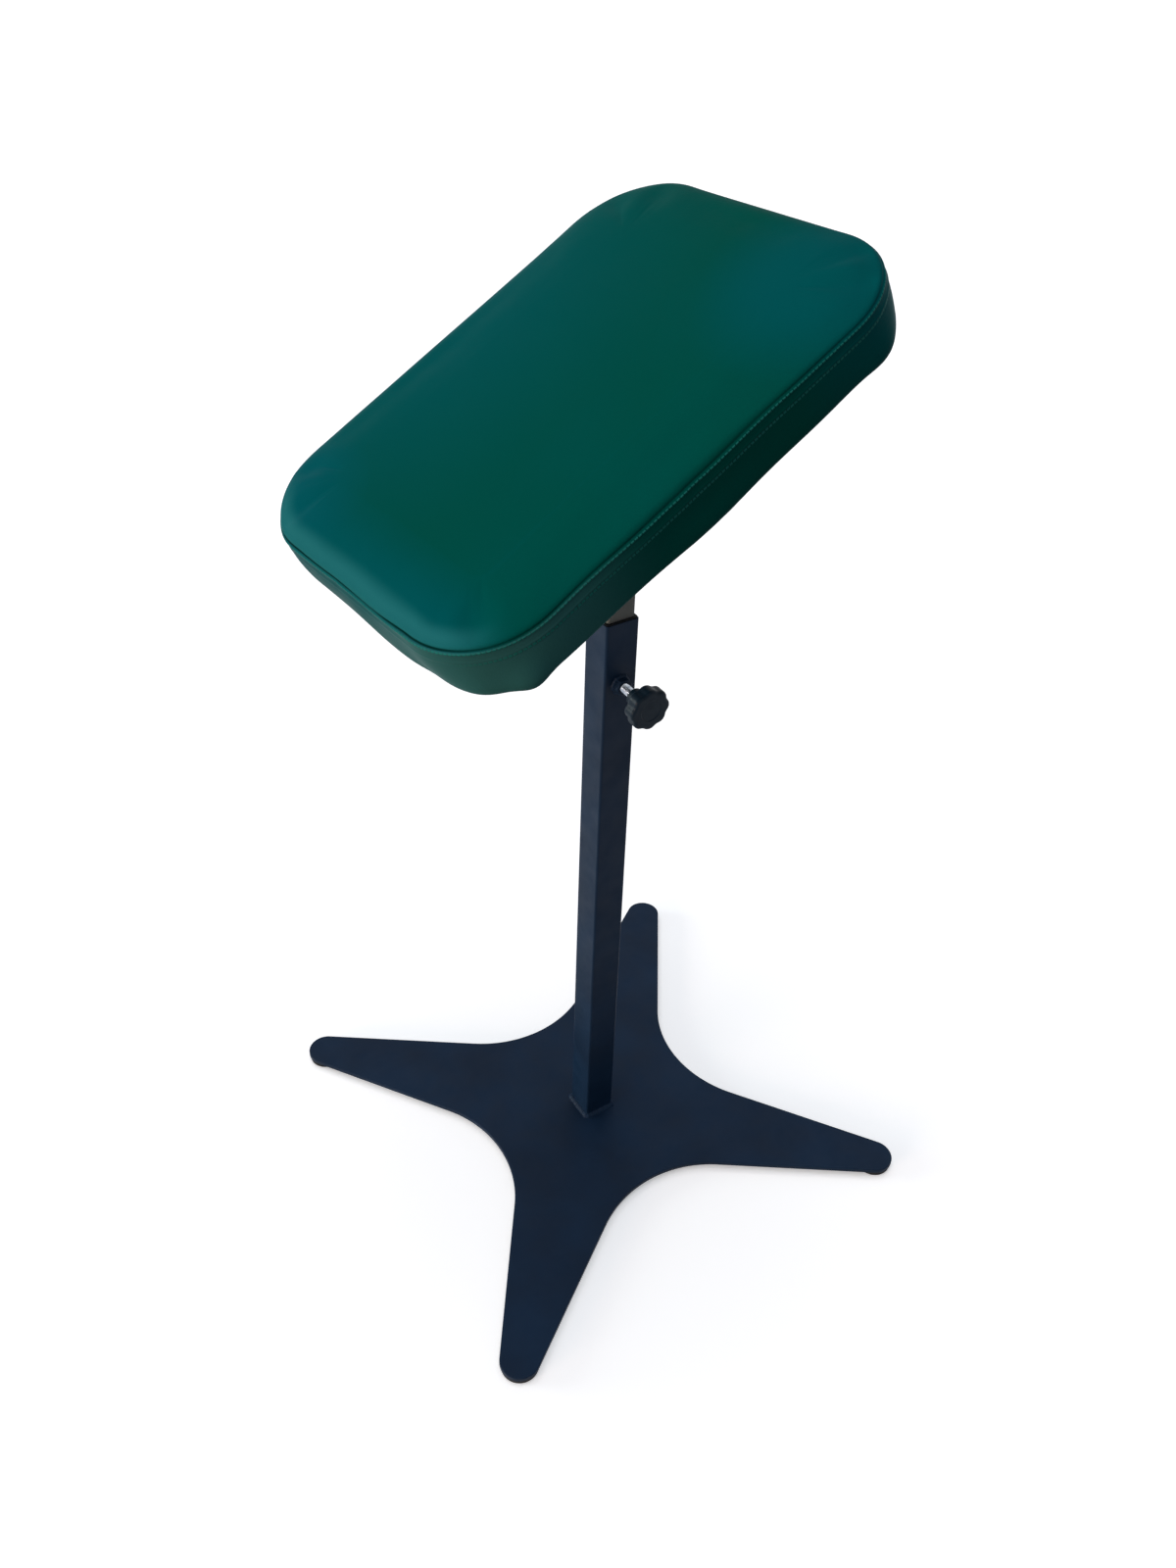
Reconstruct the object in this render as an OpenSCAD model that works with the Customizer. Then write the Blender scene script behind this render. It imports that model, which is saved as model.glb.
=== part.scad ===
// Tattoo arm rest stand: a padded rest that tilts on a telescopic square post,
// on a flat steel foot with four arms.
// Millimetres, Z up. The origin is on the floor, on the post's axis. The post's faces look
// along X and Y, the foot's arms lie on the diagonals, and both clamp knobs are on the -Y side.

/* [Foot] */
// Distance from the post's axis to the centre of an arm's round tip
arm_reach = 289; // [230:1:340]
// Radius of an arm's round tip
tip_r = 18; // [12:0.5:26]
// Distance from the post's axis to the middle of a hollow side
waist = 109; // [90:1:130]
// Radius of a hollow side
hollow_r = 116; // [85:1:145]
// Thickness of the foot plate
plate_t = 5; // [3:0.5:10]
// Radius of a rubber foot
rubber_r = 17; // [10:0.5:20]
// Height of a rubber foot
rubber_h = 6; // [3:0.5:15]
// Leg of the weld round the post's foot
weld_leg = 3.5; // [2:0.5:6]

/* [Post] */
// Length of the outer tube
post_l = 580; // [520:5:700]
// Width of the outer tube
post_w = 30; // [28:0.5:40]
// Wall of the outer tube
post_wall = 1.5; // [1:0.1:2]
// Outer corner radius of the outer tube
post_corner_r = 2; // [1.6:0.1:3]
// Wall of the plastic guide bush
bush_wall = 0.92; // [0.6:0.02:1.5]
// Depth of the guide bush in the tube
bush_l = 30; // [15:1:40]
// Height of the bush's lip over the tube's end
lip_h = 1.2; // [0.8:0.1:3]
// How far the lip stays inside the tube's faces
lip_inset = 0.7; // [0.2:0.1:1]

/* [Mast] */
// Length of the inner tube
mast_l = 480; // [400:5:520]
// Wall of the inner tube
mast_wall = 1.5; // [1:0.1:2]
// Outer corner radius of the inner tube
mast_corner_r = 2; // [1.6:0.1:3]
// Height of the tilt axis over the outer tube's end
rise = 127; // [60:1:300]
// Distance from the tilt axis to the inner tube's upper end
end_over_axis = 13; // [11:0.5:16]
// Height of the cap on the inner tube
cap_h = 3; // [2:0.5:5]
// Height of the glide plug's foot
glide_h = 8; // [4:0.5:15]
// Depth of a plug's skirt in the tube
skirt_l = 15; // [8:1:30]
// Wall of a plug's skirt
skirt_wall = 2; // [1.2:0.2:3]

/* [Clamps] */
// Distance from the outer tube's end down to the height clamp
clamp_drop = 56; // [45:1:100]
// Thread diameter of both clamps
screw_d = 8; // [6:1:10]
// Width across the flats of the welded nut
nut_af = 13; // [12:0.5:17]
// Height of the welded nut
nut_h = 6.5; // [5:0.5:8]
// Leg of the weld round the nut
nut_weld_leg = 2; // [1:0.5:3]
// Length of stud in sight between nut and knob
stud_free = 12.5; // [4:0.5:25]
// Number of lobes of a knob
lobes = 8; // [5:1:10]
// Radius of a knob over its lobes
knob_r = 17.8; // [15:0.2:24]
// Radius of one lobe
lobe_r = 7; // [6:0.2:9]
// Radius of the hollow between two lobes
scallop_r = 8; // [6:0.5:12]
// Thickness of a knob's grip
grip_t = 12; // [9:0.5:20]
// Edge radius of a knob's grip
grip_edge_r = 2.5; // [1:0.5:4]
// Radius of a knob's hub
hub_r = 7.2; // [6.5:0.1:9]
// Length of a knob's hub behind the grip
hub_l = 12; // [6:0.5:20]
// Depth of the ring-shaped recess behind the grip
recess_d = 5; // [2:0.5:8]
// Wall of the grip round that recess
recess_wall = 3; // [2:0.5:5]
// Depth of the thread in a grip, past the hub
thread_in_grip = 7; // [4:0.5:8]
// Radius of the tilt knob's steel insert
insert_r = 5.4; // [5.1:0.1:6]
// Length of the tilt knob's steel insert
insert_l = 11; // [6:0.5:15]

/* [Tilt bracket] */
// Tilt of the pad, its -X end down
tilt = 28.4; // [-90:0.1:90]
// Distance from the tilt axis to the pad's underside
pad_gap = 35; // [30:0.5:50]
// Thickness of the bracket's steel
steel_t = 3; // [2:0.5:4]
// Width of the fork's ears
ear_w = 30; // [22:1:40]
// Inside bend radius of the fork
bend_r = 2; // [1:0.5:3]
// Length of the bracket's plate
bracket_l = 112; // [90:1:160]
// Width of the bracket's plate
bracket_w = 66; // [60:1:110]
// Corner radius of the bracket's plate
bracket_corner_r = 6; // [2:0.5:12]
// Distance from the plate's edges to its screws
screw_edge = 12; // [9:0.5:15]
// Radius of a friction washer
friction_r = 10; // [8:0.5:13]
// Thickness of a friction washer
friction_t = 1; // [0.5:0.1:2]
// Outer radius of the sleeve across the inner tube
sleeve_r = 6; // [5.5:0.1:7]
// Radius of the coach bolt's head
bolt_head_r = 9.5; // [8:0.5:12]
// Height of the coach bolt's head
bolt_head_h = 4.4; // [3:0.2:6]
// Leg of the weld between fork and plate
fork_weld_leg = 2.5; // [1.5:0.5:3]
// Diameter of the bracket's screws
small_d = 6; // [5:0.5:6.5]
// Length of the bracket's screws
small_l = 15; // [12:0.5:16]

/* [Pad] */
// Length of the pad
pad_l = 395; // [320:1:500]
// Width of the pad
pad_w = 295; // [220:1:360]
// Corner radius of the pad
pad_corner_r = 67; // [40:1:90]
// Height of the side band, from the pad's underside to the seam
band_h = 38; // [30:1:60]
// Height of the rolled edge over the seam
roll_h = 6.5; // [4:0.5:12]
// Width of the rolled edge
roll_w = 20; // [12:1:35]
// Further rise of the crown to the pad's middle
crown_rise = 2; // [0:0.5:8]
// How far the seam draws in between the corners
side_draw = 1.5; // [0:0.1:5]
// How far the side band swells
band_swell = 1; // [0:0.1:4]
// Radius of the cover's lower edge
under_r = 4; // [3:0.5:8]
// Thickness of the leatherette
cover_t = 1.1; // [0.8:0.1:2]
// Width of the hem under the board
hem_w = 24; // [18:1:40]
// Thickness of the plywood board
board_t = 12; // [9:0.5:18]
// Turn of the pad on its bracket
pad_skew = 4.4; // [-10:0.1:10]
// Distance of the pad's middle from the tilt axis, along the pad
pad_shift = -15; // [-40:1:40]
// Thickness of the dust cloth
cloth_t = 0.6; // [0.3:0.1:1]
// Distance from the pad's edge to the dust cloth
cloth_edge = 10; // [6:1:15]
// Distance from the pad's edge to the staples
staple_edge = 16; // [14:1:17]
// Width of a staple
staple_w = 10; // [8:0.5:14]
// Length of a staple's legs
staple_leg = 6; // [4:0.5:8]
// Staples along a long side, along a short side and round a corner
staple_counts = [5, 3, 3];

/* [Hidden] */
$fn = 64;
// Diagonal of the square that the arms follow, and a quarter turn
diagonal = 45;
quarter = 90;

// Clearances and small sizes
cut_over = 1;
// How far outlines that touch in a tangent run into each other, so that they cross
bite = 0.02;
slide_clear = 0.08;
thread_clear = 0.05;
seat_gap = 0.05;
face_gap = 0.1;
foam_gap = 0.25;
hole_clear = 0.4;
rubber_taper = 1.5;
wire_t = 1;
washer_t = 1.6;
washer_rim = 5;
small_washer_t = 1.2;
small_washer_rim = 4;
small_head_rim = 2.6;
small_head_h = 3.4;
tee_rim = 6;
tee_flange_t = 1.3;
tee_barrel_wall = 0.9;
tee_barrel_l = 9;
board_edge_gap = 0.5;
core_corner_r = 10;
chamfer_share = 0.12;
nut_face_share = 0.94;
bead_shares = [[0, 0], [1, 0], [0.8, 0.42], [0.42, 0.8], [0, 1]];
deep_shares = [0.25, 0.55, 0.82];
arc_steps = 8;
side_steps = 4;
band_steps = 4;
roll_steps = 5;
under_steps = 3;

// The foot's outline in an arm's own frame, the arm along X
hollow_c = (waist + hollow_r) * [cos(diagonal), sin(diagonal)];
tip_c = [arm_reach, 0];
tip_to_hollow = hollow_c - tip_c;
edge_turn = atan2(tip_to_hollow.y, tip_to_hollow.x)
    - acos((tip_r + hollow_r - 2 * bite) / norm(tip_to_hollow));
edge_normal = [cos(edge_turn), sin(edge_turn)];
tip_touch = tip_c + (tip_r - bite) * edge_normal;
hollow_touch = hollow_c - (hollow_r - bite) * edge_normal;

// The post
plate_top = rubber_h + plate_t;
post_top = plate_top + post_l;
post_in = post_w - 2 * post_wall;
post_in_r = post_corner_r - post_wall + slide_clear;
bush_out = post_in - 2 * seat_gap;
bush_in = bush_out - 2 * bush_wall;
mast_w = bush_in - 2 * (slide_clear - seat_gap);
mast_in = mast_w - 2 * mast_wall;
mast_in_r = mast_corner_r - mast_wall + slide_clear;
axis_z = post_top + rise;
mast_top = axis_z + end_over_axis;
mast_bottom = mast_top - mast_l;
cap_skirt_l = end_over_axis - sleeve_r - seat_gap;

// The clamps, as distances from the post's axis towards -Y
screw_r = screw_d / 2;
clamp_z = post_top - clamp_drop;
stud_tip = mast_w / 2 + 2 * face_gap;
nut_face = post_w / 2 + nut_h;
knob_face = nut_face + stud_free;
stud_l = knob_face + hub_l + thread_in_grip - stud_tip;
nut_corner_r = nut_af / 2 / cos(30);
nut_face_r = nut_face_share * nut_af / 2;
knob_l = hub_l + grip_t;
lobe_at = knob_r - lobe_r;
half_lobe = 180 / lobes;
lobe_gap = lobe_r + scallop_r - bite;
scallop_at = lobe_at * cos(half_lobe) + sqrt(pow(lobe_gap, 2) - pow(lobe_at * sin(half_lobe), 2));

// The tilt bracket, in the frame of the tilt axis
ear_in = mast_w / 2 + face_gap + friction_t;
ear_out = ear_in + steel_t;
plate_z = pad_gap - steel_t;
fork_z = plate_z - steel_t;
washer_out = ear_out + washer_t;
bolt_l = ear_out + washer_out + face_gap + hub_l + thread_in_grip;
neck_w = screw_d;
neck_hole = neck_w + 2 * face_gap;
screw_at = [bracket_l / 2 - screw_edge, bracket_w / 2 - screw_edge];
small_r = small_d / 2;

// The pad, as heights over the tilt axis
board_z = pad_gap + cloth_t;
hem_z = board_z - cover_t;
board_top = board_z + board_t;
seam_z = hem_z + band_h;
board_inset = under_r + board_edge_gap;
half_w = pad_w / 2;
// The hem's faceted corners stand in by the rise of their chords
hem_in = hem_w + seat_gap + (pad_corner_r - hem_w) * (1 - cos(quarter / arc_steps / 2));

// Places

module at_arms() {
    for (i = [0:3])
        rotate(diagonal + quarter * i)
            children();
}

// The frame of the tilt axis: X along the bracket, Z square to the pad
module at_pivot() {
    translate([0, 0, axis_z])
        rotate([0, -tilt, 0])
            children();
}

// The pad lies a little off the bracket's middle, and a little askew
module at_pad() {
    translate([pad_shift, 0, 0])
        rotate(pad_skew)
            children();
}

// A frame whose Z points out of the -Y face, its zero at a distance from the post's axis
module outwards(distance) {
    translate([0, -distance, 0])
        rotate([quarter, 0, 0])
            children();
}

module at_screws() {
    for (x = [-1, 1], y = [-1, 1])
        translate([x * screw_at.x, y * screw_at.y, 0])
            children();
}

// Flat outlines

module round_rect(length, width, r) {
    square([length, width - 2 * r], center = true);
    square([length - 2 * r, width], center = true);
    for (x = [-1, 1], y = [-1, 1])
        translate([x * (length / 2 - r), y * (width / 2 - r)])
            circle(r);
}

module square_ring(outer, outer_r, inner, inner_r) {
    difference() {
        round_rect(outer, outer, outer_r);
        round_rect(inner, inner, inner_r);
    }
}

module pad_outline(inset) {
    round_rect(pad_l - 2 * inset, pad_w - 2 * inset, max(pad_corner_r - inset, core_corner_r));
}

// Four arms whose straight sides run from their round tips into the hollow sides
module foot_outline() {
    arm = [
        [hollow_touch.x, -hollow_touch.y],
        [tip_touch.x, -tip_touch.y],
        tip_touch,
        hollow_touch
    ];
    difference() {
        union() {
            polygon([
                for (i = [0:3], p = arm)
                    let (a = diagonal + quarter * i)
                        [p.x * cos(a) - p.y * sin(a), p.x * sin(a) + p.y * cos(a)]
            ]);
            at_arms()
                translate(tip_c)
                    circle(tip_r);
        }
        for (i = [0:3])
            rotate(quarter * i)
                translate([waist + hollow_r, 0])
                    circle(hollow_r);
    }
}

// Round lobes, each tangent to the hollow beside it
module lobed_outline() {
    lobe_c = [lobe_at, 0];
    scallop_c = scallop_at * [cos(half_lobe), sin(half_lobe)];
    touch = lobe_c + lobe_r * (scallop_c - lobe_c) / lobe_gap;
    sides = [[touch.x, -touch.y], touch];
    difference() {
        union() {
            polygon([
                for (i = [0:lobes - 1], p = sides)
                    let (a = 2 * half_lobe * i)
                        [p.x * cos(a) - p.y * sin(a), p.x * sin(a) + p.y * cos(a)]
            ]);
            for (i = [0:lobes - 1])
                rotate(2 * half_lobe * i)
                    translate(lobe_c)
                        circle(lobe_r);
        }
        for (i = [0:lobes - 1])
            rotate(2 * half_lobe * i)
                translate(scallop_c)
                    circle(scallop_r);
    }
}

// Shapes used more than once

// A weld bead round a square tube that stands on a plate
module tube_bead(width, corner_r, leg) {
    for (i = [0:3])
        rotate(quarter * i) {
            translate([width / 2, width / 2 - corner_r, 0])
                rotate([quarter, 0, 0])
                    linear_extrude(width - 2 * corner_r)
                        polygon(bead_shares * leg);
            translate([width / 2 - corner_r, width / 2 - corner_r, 0])
                rotate_extrude(angle = quarter)
                    translate([corner_r, 0])
                        polygon(bead_shares * leg);
        }
}

// A shaft whose first end is chamfered
module shaft(r, length) {
    cylinder(h = r * chamfer_share, r1 = r * (1 - chamfer_share), r2 = r);
    translate([0, 0, r * chamfer_share])
        cylinder(h = length - r * chamfer_share, r = r);
}

module washer(r, hole_r, thickness) {
    difference() {
        cylinder(h = thickness, r = r);
        translate([0, 0, -cut_over])
            cylinder(h = thickness + 2 * cut_over, r = hole_r);
    }
}

// A lobed knob: Z runs from the hub's end outwards
module knob_solid() {
    intersection() {
        rotate_extrude()
            difference() {
                union() {
                    square([hub_r, knob_l]);
                    translate([0, hub_l])
                        square([knob_r - grip_edge_r, grip_t]);
                    translate([0, hub_l + grip_edge_r])
                        square([knob_r, grip_t - 2 * grip_edge_r]);
                    for (z = [hub_l + grip_edge_r, knob_l - grip_edge_r])
                        translate([knob_r - grip_edge_r, z])
                            circle(grip_edge_r);
                }
                translate([hub_r, hub_l - cut_over])
                    square([knob_r - recess_wall - hub_r - grip_edge_r, recess_d + cut_over]);
            }
        linear_extrude(knob_l)
            lobed_outline();
    }
}

// The points round one level of the pad: quarter circles at the corners, and between them
// sides that draw in, from none at the hem to the most at the seam and above
function draw_at(z) = side_draw * max(0, min(1, (z - hem_z) / band_h));

function corner_c(q, half_l, half_b, r) =
    let (signs = [[1, 1], [-1, 1], [-1, -1], [1, -1]][q % 4])
        [signs.x * (half_l - r), signs.y * (half_b - r)];

function ring(inset, z) =
    let (
        half_l = pad_l / 2 - inset,
        half_b = half_w - inset,
        draw = draw_at(z),
        r = max(pad_corner_r - inset, core_corner_r)
    )
    [
        for (q = [0:3])
            each concat(
                [
                    for (i = [0:arc_steps])
                        let (
                            a = quarter * (q + i / arc_steps),
                            p = corner_c(q, half_l, half_b, r) + r * [cos(a), sin(a)]
                        )
                            [p.x, p.y, z]
                ],
                [
                    for (i = [1:side_steps - 1])
                        let (
                            t = i / side_steps,
                            out = [cos(quarter * (q + 1)), sin(quarter * (q + 1))],
                            from = corner_c(q, half_l, half_b, r),
                            to = corner_c(q + 1, half_l, half_b, r),
                            p = (1 - t) * from + t * to + (r - 4 * t * (1 - t) * draw) * out
                        )
                            [p.x, p.y, z]
                ]
            )
    ];

// The pad's section as pairs of inset and height, a skin's depth in from the outside
function broad_rise(s) = crown_rise * (1 - pow(1 - s / half_w, 2));

function roll_level(a, depth) =
    let (s = depth + (roll_w - depth) * (1 - cos(a)))
        [s, seam_z + (roll_h - depth) * sin(a) + broad_rise(s)];

function deep_level(share, depth) =
    let (s = roll_w + share * (half_w - roll_w))
        [s, seam_z + roll_h - depth + broad_rise(s)];

function crown_levels(depth) = concat(
    [for (i = [0:roll_steps]) roll_level(quarter * i / roll_steps, depth)],
    [for (share = deep_shares) deep_level(share, depth)]
);

function swell(z) = band_swell * sin(180 * (z - hem_z - under_r) / (band_h - under_r));

function band_levels(depth) = concat(
    [
        for (i = [0:under_steps])
            let (a = quarter * i / under_steps)
                [
                    under_r - (under_r - depth) * sin(a),
                    hem_z + under_r - (under_r - depth) * cos(a)
                ]
    ],
    [
        for (i = [1:band_steps])
            let (z = hem_z + under_r + (band_h - under_r) * i / band_steps)
                [depth - swell(z), z]
    ]
);

function reversed(list) = [for (i = [len(list) - 1:-1:0]) list[i]];

function side_faces(rows, n) = [
    for (i = rows, k = [0:n - 1])
        let (a = i[0] * n + k, b = i[1] * n + k, c = i[1] * n + (k + 1) % n, d = i[0] * n + (k + 1) % n)
            each [[a, b, c], [a, c, d]]
];

// A closed skin through rings, from a pole below the first to a pole above the last
module capped_loft(levels, low, high) {
    rings = [for (l = levels) ring(l[0], l[1])];
    n = len(rings[0]);
    m = len(rings);
    polyhedron(
        points = concat([for (r = rings) each r], [[0, 0, low], [0, 0, high]]),
        faces = concat(
            side_faces([for (i = [0:m - 2]) [i, i + 1]], n),
            [for (k = [0:n - 1]) [m * n, k, (k + 1) % n]],
            [for (k = [0:n - 1]) [m * n + 1, (m - 1) * n + (k + 1) % n, (m - 1) * n + k]]
        )
    );
}

// A closed band through rings, the last joined to the first
module ring_loft(levels) {
    rings = [for (l = levels) ring(l[0], l[1])];
    n = len(rings[0]);
    m = len(rings);
    polyhedron(
        points = [for (r = rings) each r],
        faces = side_faces([for (i = [0:m - 1]) [i, (i + 1) % m]], n)
    );
}

// The standing part

module base_plate() {
    color("#1c232e")
        translate([0, 0, rubber_h])
            linear_extrude(plate_t)
                foot_outline();
}

module rubber_feet() {
    color("#16181a")
        at_arms()
            translate(tip_c) {
                cylinder(h = rubber_taper, r1 = rubber_r - rubber_taper, r2 = rubber_r);
                translate([0, 0, rubber_taper])
                    cylinder(h = rubber_h - rubber_taper, r = rubber_r);
            }
}

module outer_tube() {
    color("#1e2733")
        difference() {
            translate([0, 0, plate_top])
                linear_extrude(post_l)
                    square_ring(post_w, post_corner_r, post_in, post_in_r);
            translate([0, 0, clamp_z])
                outwards(mast_w / 2)
                    cylinder(h = post_w / 2, r = screw_r + hole_clear);
        }
}

module foot_weld() {
    color("#242c38")
        translate([0, 0, plate_top])
            tube_bead(post_w, post_corner_r, weld_leg);
}

module clamp_nut() {
    color("#1e2733")
        translate([0, 0, clamp_z])
            outwards(post_w / 2)
                difference() {
                    intersection() {
                        cylinder(h = nut_h, r = nut_corner_r, $fn = 6);
                        cylinder(h = nut_h, r1 = nut_face_r + nut_h / tan(30), r2 = nut_face_r);
                    }
                    translate([0, 0, -cut_over])
                        cylinder(h = nut_h + 2 * cut_over, r = screw_r + thread_clear);
                }
}

module nut_weld() {
    color("#242c38")
        translate([0, 0, clamp_z])
            outwards(post_w / 2)
                difference() {
                    cylinder(h = nut_weld_leg, r1 = nut_corner_r + nut_weld_leg, r2 = nut_corner_r);
                    translate([0, 0, -cut_over])
                        cylinder(h = nut_weld_leg + 2 * cut_over, r = nut_corner_r, $fn = 6);
                }
}

module guide_bush() {
    bush_r = post_in_r - seat_gap;
    hole_r = mast_corner_r + slide_clear - seat_gap;
    color("#101214") {
        translate([0, 0, post_top - bush_l])
            linear_extrude(bush_l)
                square_ring(bush_out, bush_r, bush_in, hole_r);
        translate([0, 0, post_top])
            linear_extrude(lip_h)
                square_ring(post_w - 2 * lip_inset, post_corner_r, bush_in, hole_r);
    }
}

// The rising part

module inner_tube() {
    color("#45443f")
        difference() {
            translate([0, 0, mast_bottom])
                linear_extrude(mast_l)
                    square_ring(mast_w, mast_corner_r, mast_in, mast_in_r);
            translate([0, 0, axis_z])
                outwards(-mast_w)
                    cylinder(h = 2 * mast_w, r = sleeve_r);
        }
}

module glide_plug() {
    foot_w = post_in - 2 * slide_clear;
    skirt_w = mast_in - 2 * seat_gap;
    color("#101214")
        translate([0, 0, mast_bottom]) {
            translate([0, 0, -glide_h])
                linear_extrude(glide_h)
                    round_rect(foot_w, foot_w, post_in_r);
            linear_extrude(skirt_l)
                square_ring(skirt_w, mast_in_r, skirt_w - 2 * skirt_wall, mast_in_r);
        }
}

module tube_cap() {
    skirt_w = mast_in - 2 * seat_gap;
    bevel = cap_h / 2;
    slope = [
        [-mast_w / 2, 0],
        [mast_w / 2, 0],
        [mast_w / 2, cap_h - bevel],
        [mast_w / 2 - bevel, cap_h],
        [bevel - mast_w / 2, cap_h],
        [-mast_w / 2, cap_h - bevel]
    ];
    color("#101214")
        translate([0, 0, mast_top]) {
            intersection() {
                linear_extrude(cap_h)
                    round_rect(mast_w, mast_w, mast_corner_r);
                outwards(-mast_w / 2)
                    linear_extrude(mast_w)
                        polygon(slope);
                rotate(quarter)
                    outwards(-mast_w / 2)
                        linear_extrude(mast_w)
                            polygon(slope);
            }
            translate([0, 0, -cap_skirt_l])
                linear_extrude(cap_skirt_l)
                    square_ring(skirt_w, mast_in_r, skirt_w - 2 * skirt_wall, mast_in_r);
        }
}

module pivot_sleeve() {
    color("#9a9c9e")
        translate([0, 0, axis_z])
            outwards(-mast_w / 2)
                washer(sleeve_r - seat_gap, screw_r + thread_clear, mast_w);
}

// The height clamp

module height_stud() {
    color("#d8dbe0")
        translate([0, 0, clamp_z])
            outwards(stud_tip)
                shaft(screw_r, stud_l);
}

module height_knob() {
    color("#1c2026")
        translate([0, 0, clamp_z])
            outwards(knob_face)
                difference() {
                    knob_solid();
                    translate([0, 0, -cut_over])
                        cylinder(
                            h = hub_l + thread_in_grip + face_gap + cut_over,
                            r = screw_r + thread_clear
                        );
                }
}

// The tilt bracket and its clamp

module tilt_fork() {
    color("#1e2733")
        at_pivot()
            difference() {
                intersection() {
                    outwards(-ear_out)
                        linear_extrude(2 * ear_out) {
                            circle(ear_w / 2);
                            translate([-ear_w / 2, 0])
                                square([ear_w, plate_z]);
                        }
                    translate([-ear_w / 2, 0, 0])
                        rotate([quarter, 0, quarter])
                            linear_extrude(ear_w)
                                fork_section();
                }
                outwards(0)
                    cylinder(h = ear_out + cut_over, r = screw_r + face_gap);
                translate([0, ear_out, 0])
                    cube([neck_hole, 2 * steel_t + cut_over, neck_hole], center = true);
            }
}

// The fork's folded section: a web between two legs, with round bends
module fork_section() {
    outer_bend = bend_r + steel_t;
    low = -ear_w / 2;
    difference() {
        union() {
            translate([-ear_out, low])
                square([2 * ear_out, plate_z - low - outer_bend]);
            translate([outer_bend - ear_out, low])
                square([2 * (ear_out - outer_bend), plate_z - low]);
            for (side = [-1, 1])
                translate([side * (ear_out - outer_bend), plate_z - outer_bend])
                    circle(outer_bend);
        }
        translate([-ear_in, low - cut_over])
            square([2 * ear_in, fork_z - low + cut_over - bend_r]);
        translate([bend_r - ear_in, low])
            square([2 * (ear_in - bend_r), fork_z - low]);
        for (side = [-1, 1])
            translate([side * (ear_in - bend_r), fork_z - bend_r])
                circle(bend_r);
    }
}

module bracket_plate() {
    color("#1e2733")
        at_pivot()
            difference() {
                translate([0, 0, plate_z])
                    linear_extrude(steel_t)
                        round_rect(bracket_l, bracket_w, bracket_corner_r);
                at_screws()
                    translate([0, 0, plate_z - cut_over])
                        cylinder(h = steel_t + 2 * cut_over, r = small_r + hole_clear);
            }
}

module fork_weld() {
    bead_l = 2 * (ear_in - bend_r);
    color("#242c38")
        at_pivot()
            for (i = [0, 1])
                rotate(2 * quarter * i)
                    translate([ear_w / 2, bead_l / 2, plate_z])
                        rotate([quarter, 0, 0])
                            mirror([0, 1, 0])
                                linear_extrude(bead_l)
                                    polygon(bead_shares * fork_weld_leg);
}

module tilt_bolt() {
    dome_r = (pow(bolt_head_r, 2) + pow(bolt_head_h, 2)) / 2 / bolt_head_h;
    color("#b9bcc0")
        at_pivot()
            outwards(-ear_out) {
                intersection() {
                    translate([0, 0, -bolt_head_h])
                        cylinder(h = bolt_head_h, r = bolt_head_r + cut_over);
                    translate([0, 0, dome_r - bolt_head_h])
                        sphere(dome_r);
                }
                translate([-neck_w / 2, -neck_w / 2, 0])
                    cube([neck_w, neck_w, steel_t]);
                cylinder(h = bolt_l, r = screw_r);
            }
}

module pivot_washers() {
    color("#e3e1da")
        at_pivot()
            for (y = [-ear_in, ear_in - friction_t])
                outwards(-y - friction_t)
                    washer(friction_r, screw_r + face_gap, friction_t);
}

module clamp_washer() {
    color("#b9bcc0")
        at_pivot()
            outwards(ear_out)
                washer(screw_r + washer_rim, screw_r + face_gap, washer_t);
}

module tilt_insert() {
    color("#b9bcc0")
        at_pivot()
            outwards(washer_out + face_gap)
                washer(insert_r, screw_r + thread_clear, insert_l);
}

module tilt_knob() {
    color("#1c2026")
        at_pivot()
            outwards(washer_out + face_gap)
                difference() {
                    knob_solid();
                    translate([0, 0, -cut_over])
                        cylinder(h = insert_l + face_gap + cut_over, r = insert_r + thread_clear);
                    cylinder(h = hub_l + thread_in_grip + face_gap, r = screw_r + face_gap);
                }
}

module bracket_screws() {
    head_z = plate_z - small_washer_t;
    color("#b9bcc0")
        at_pivot()
            at_screws() {
                translate([0, 0, head_z - small_head_h])
                    difference() {
                        cylinder(h = small_head_h, r = small_r + small_head_rim);
                        translate([0, 0, -cut_over])
                            cylinder(h = small_head_h / 2 + cut_over, r = small_r * cos(30), $fn = 6);
                    }
                translate([0, 0, head_z])
                    cylinder(h = small_l, r = small_r);
            }
}

module screw_washers() {
    color("#c9cbce")
        at_pivot()
            at_screws()
                translate([0, 0, plate_z - small_washer_t])
                    washer(small_r + small_washer_rim, small_r + face_gap, small_washer_t);
}

module tee_nuts() {
    barrel_r = small_r + tee_barrel_wall;
    color("#b9bcc0")
        at_pivot()
            at_screws()
                difference() {
                    union() {
                        translate([0, 0, board_top - tee_flange_t])
                            cylinder(h = tee_flange_t, r = small_r + tee_rim);
                        translate([0, 0, board_top - tee_barrel_l])
                            cylinder(h = tee_barrel_l, r = barrel_r);
                    }
                    translate([0, 0, board_top - tee_barrel_l - cut_over])
                        cylinder(h = tee_barrel_l + 2 * cut_over, r = small_r + thread_clear);
                }
}

// The pad

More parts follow.
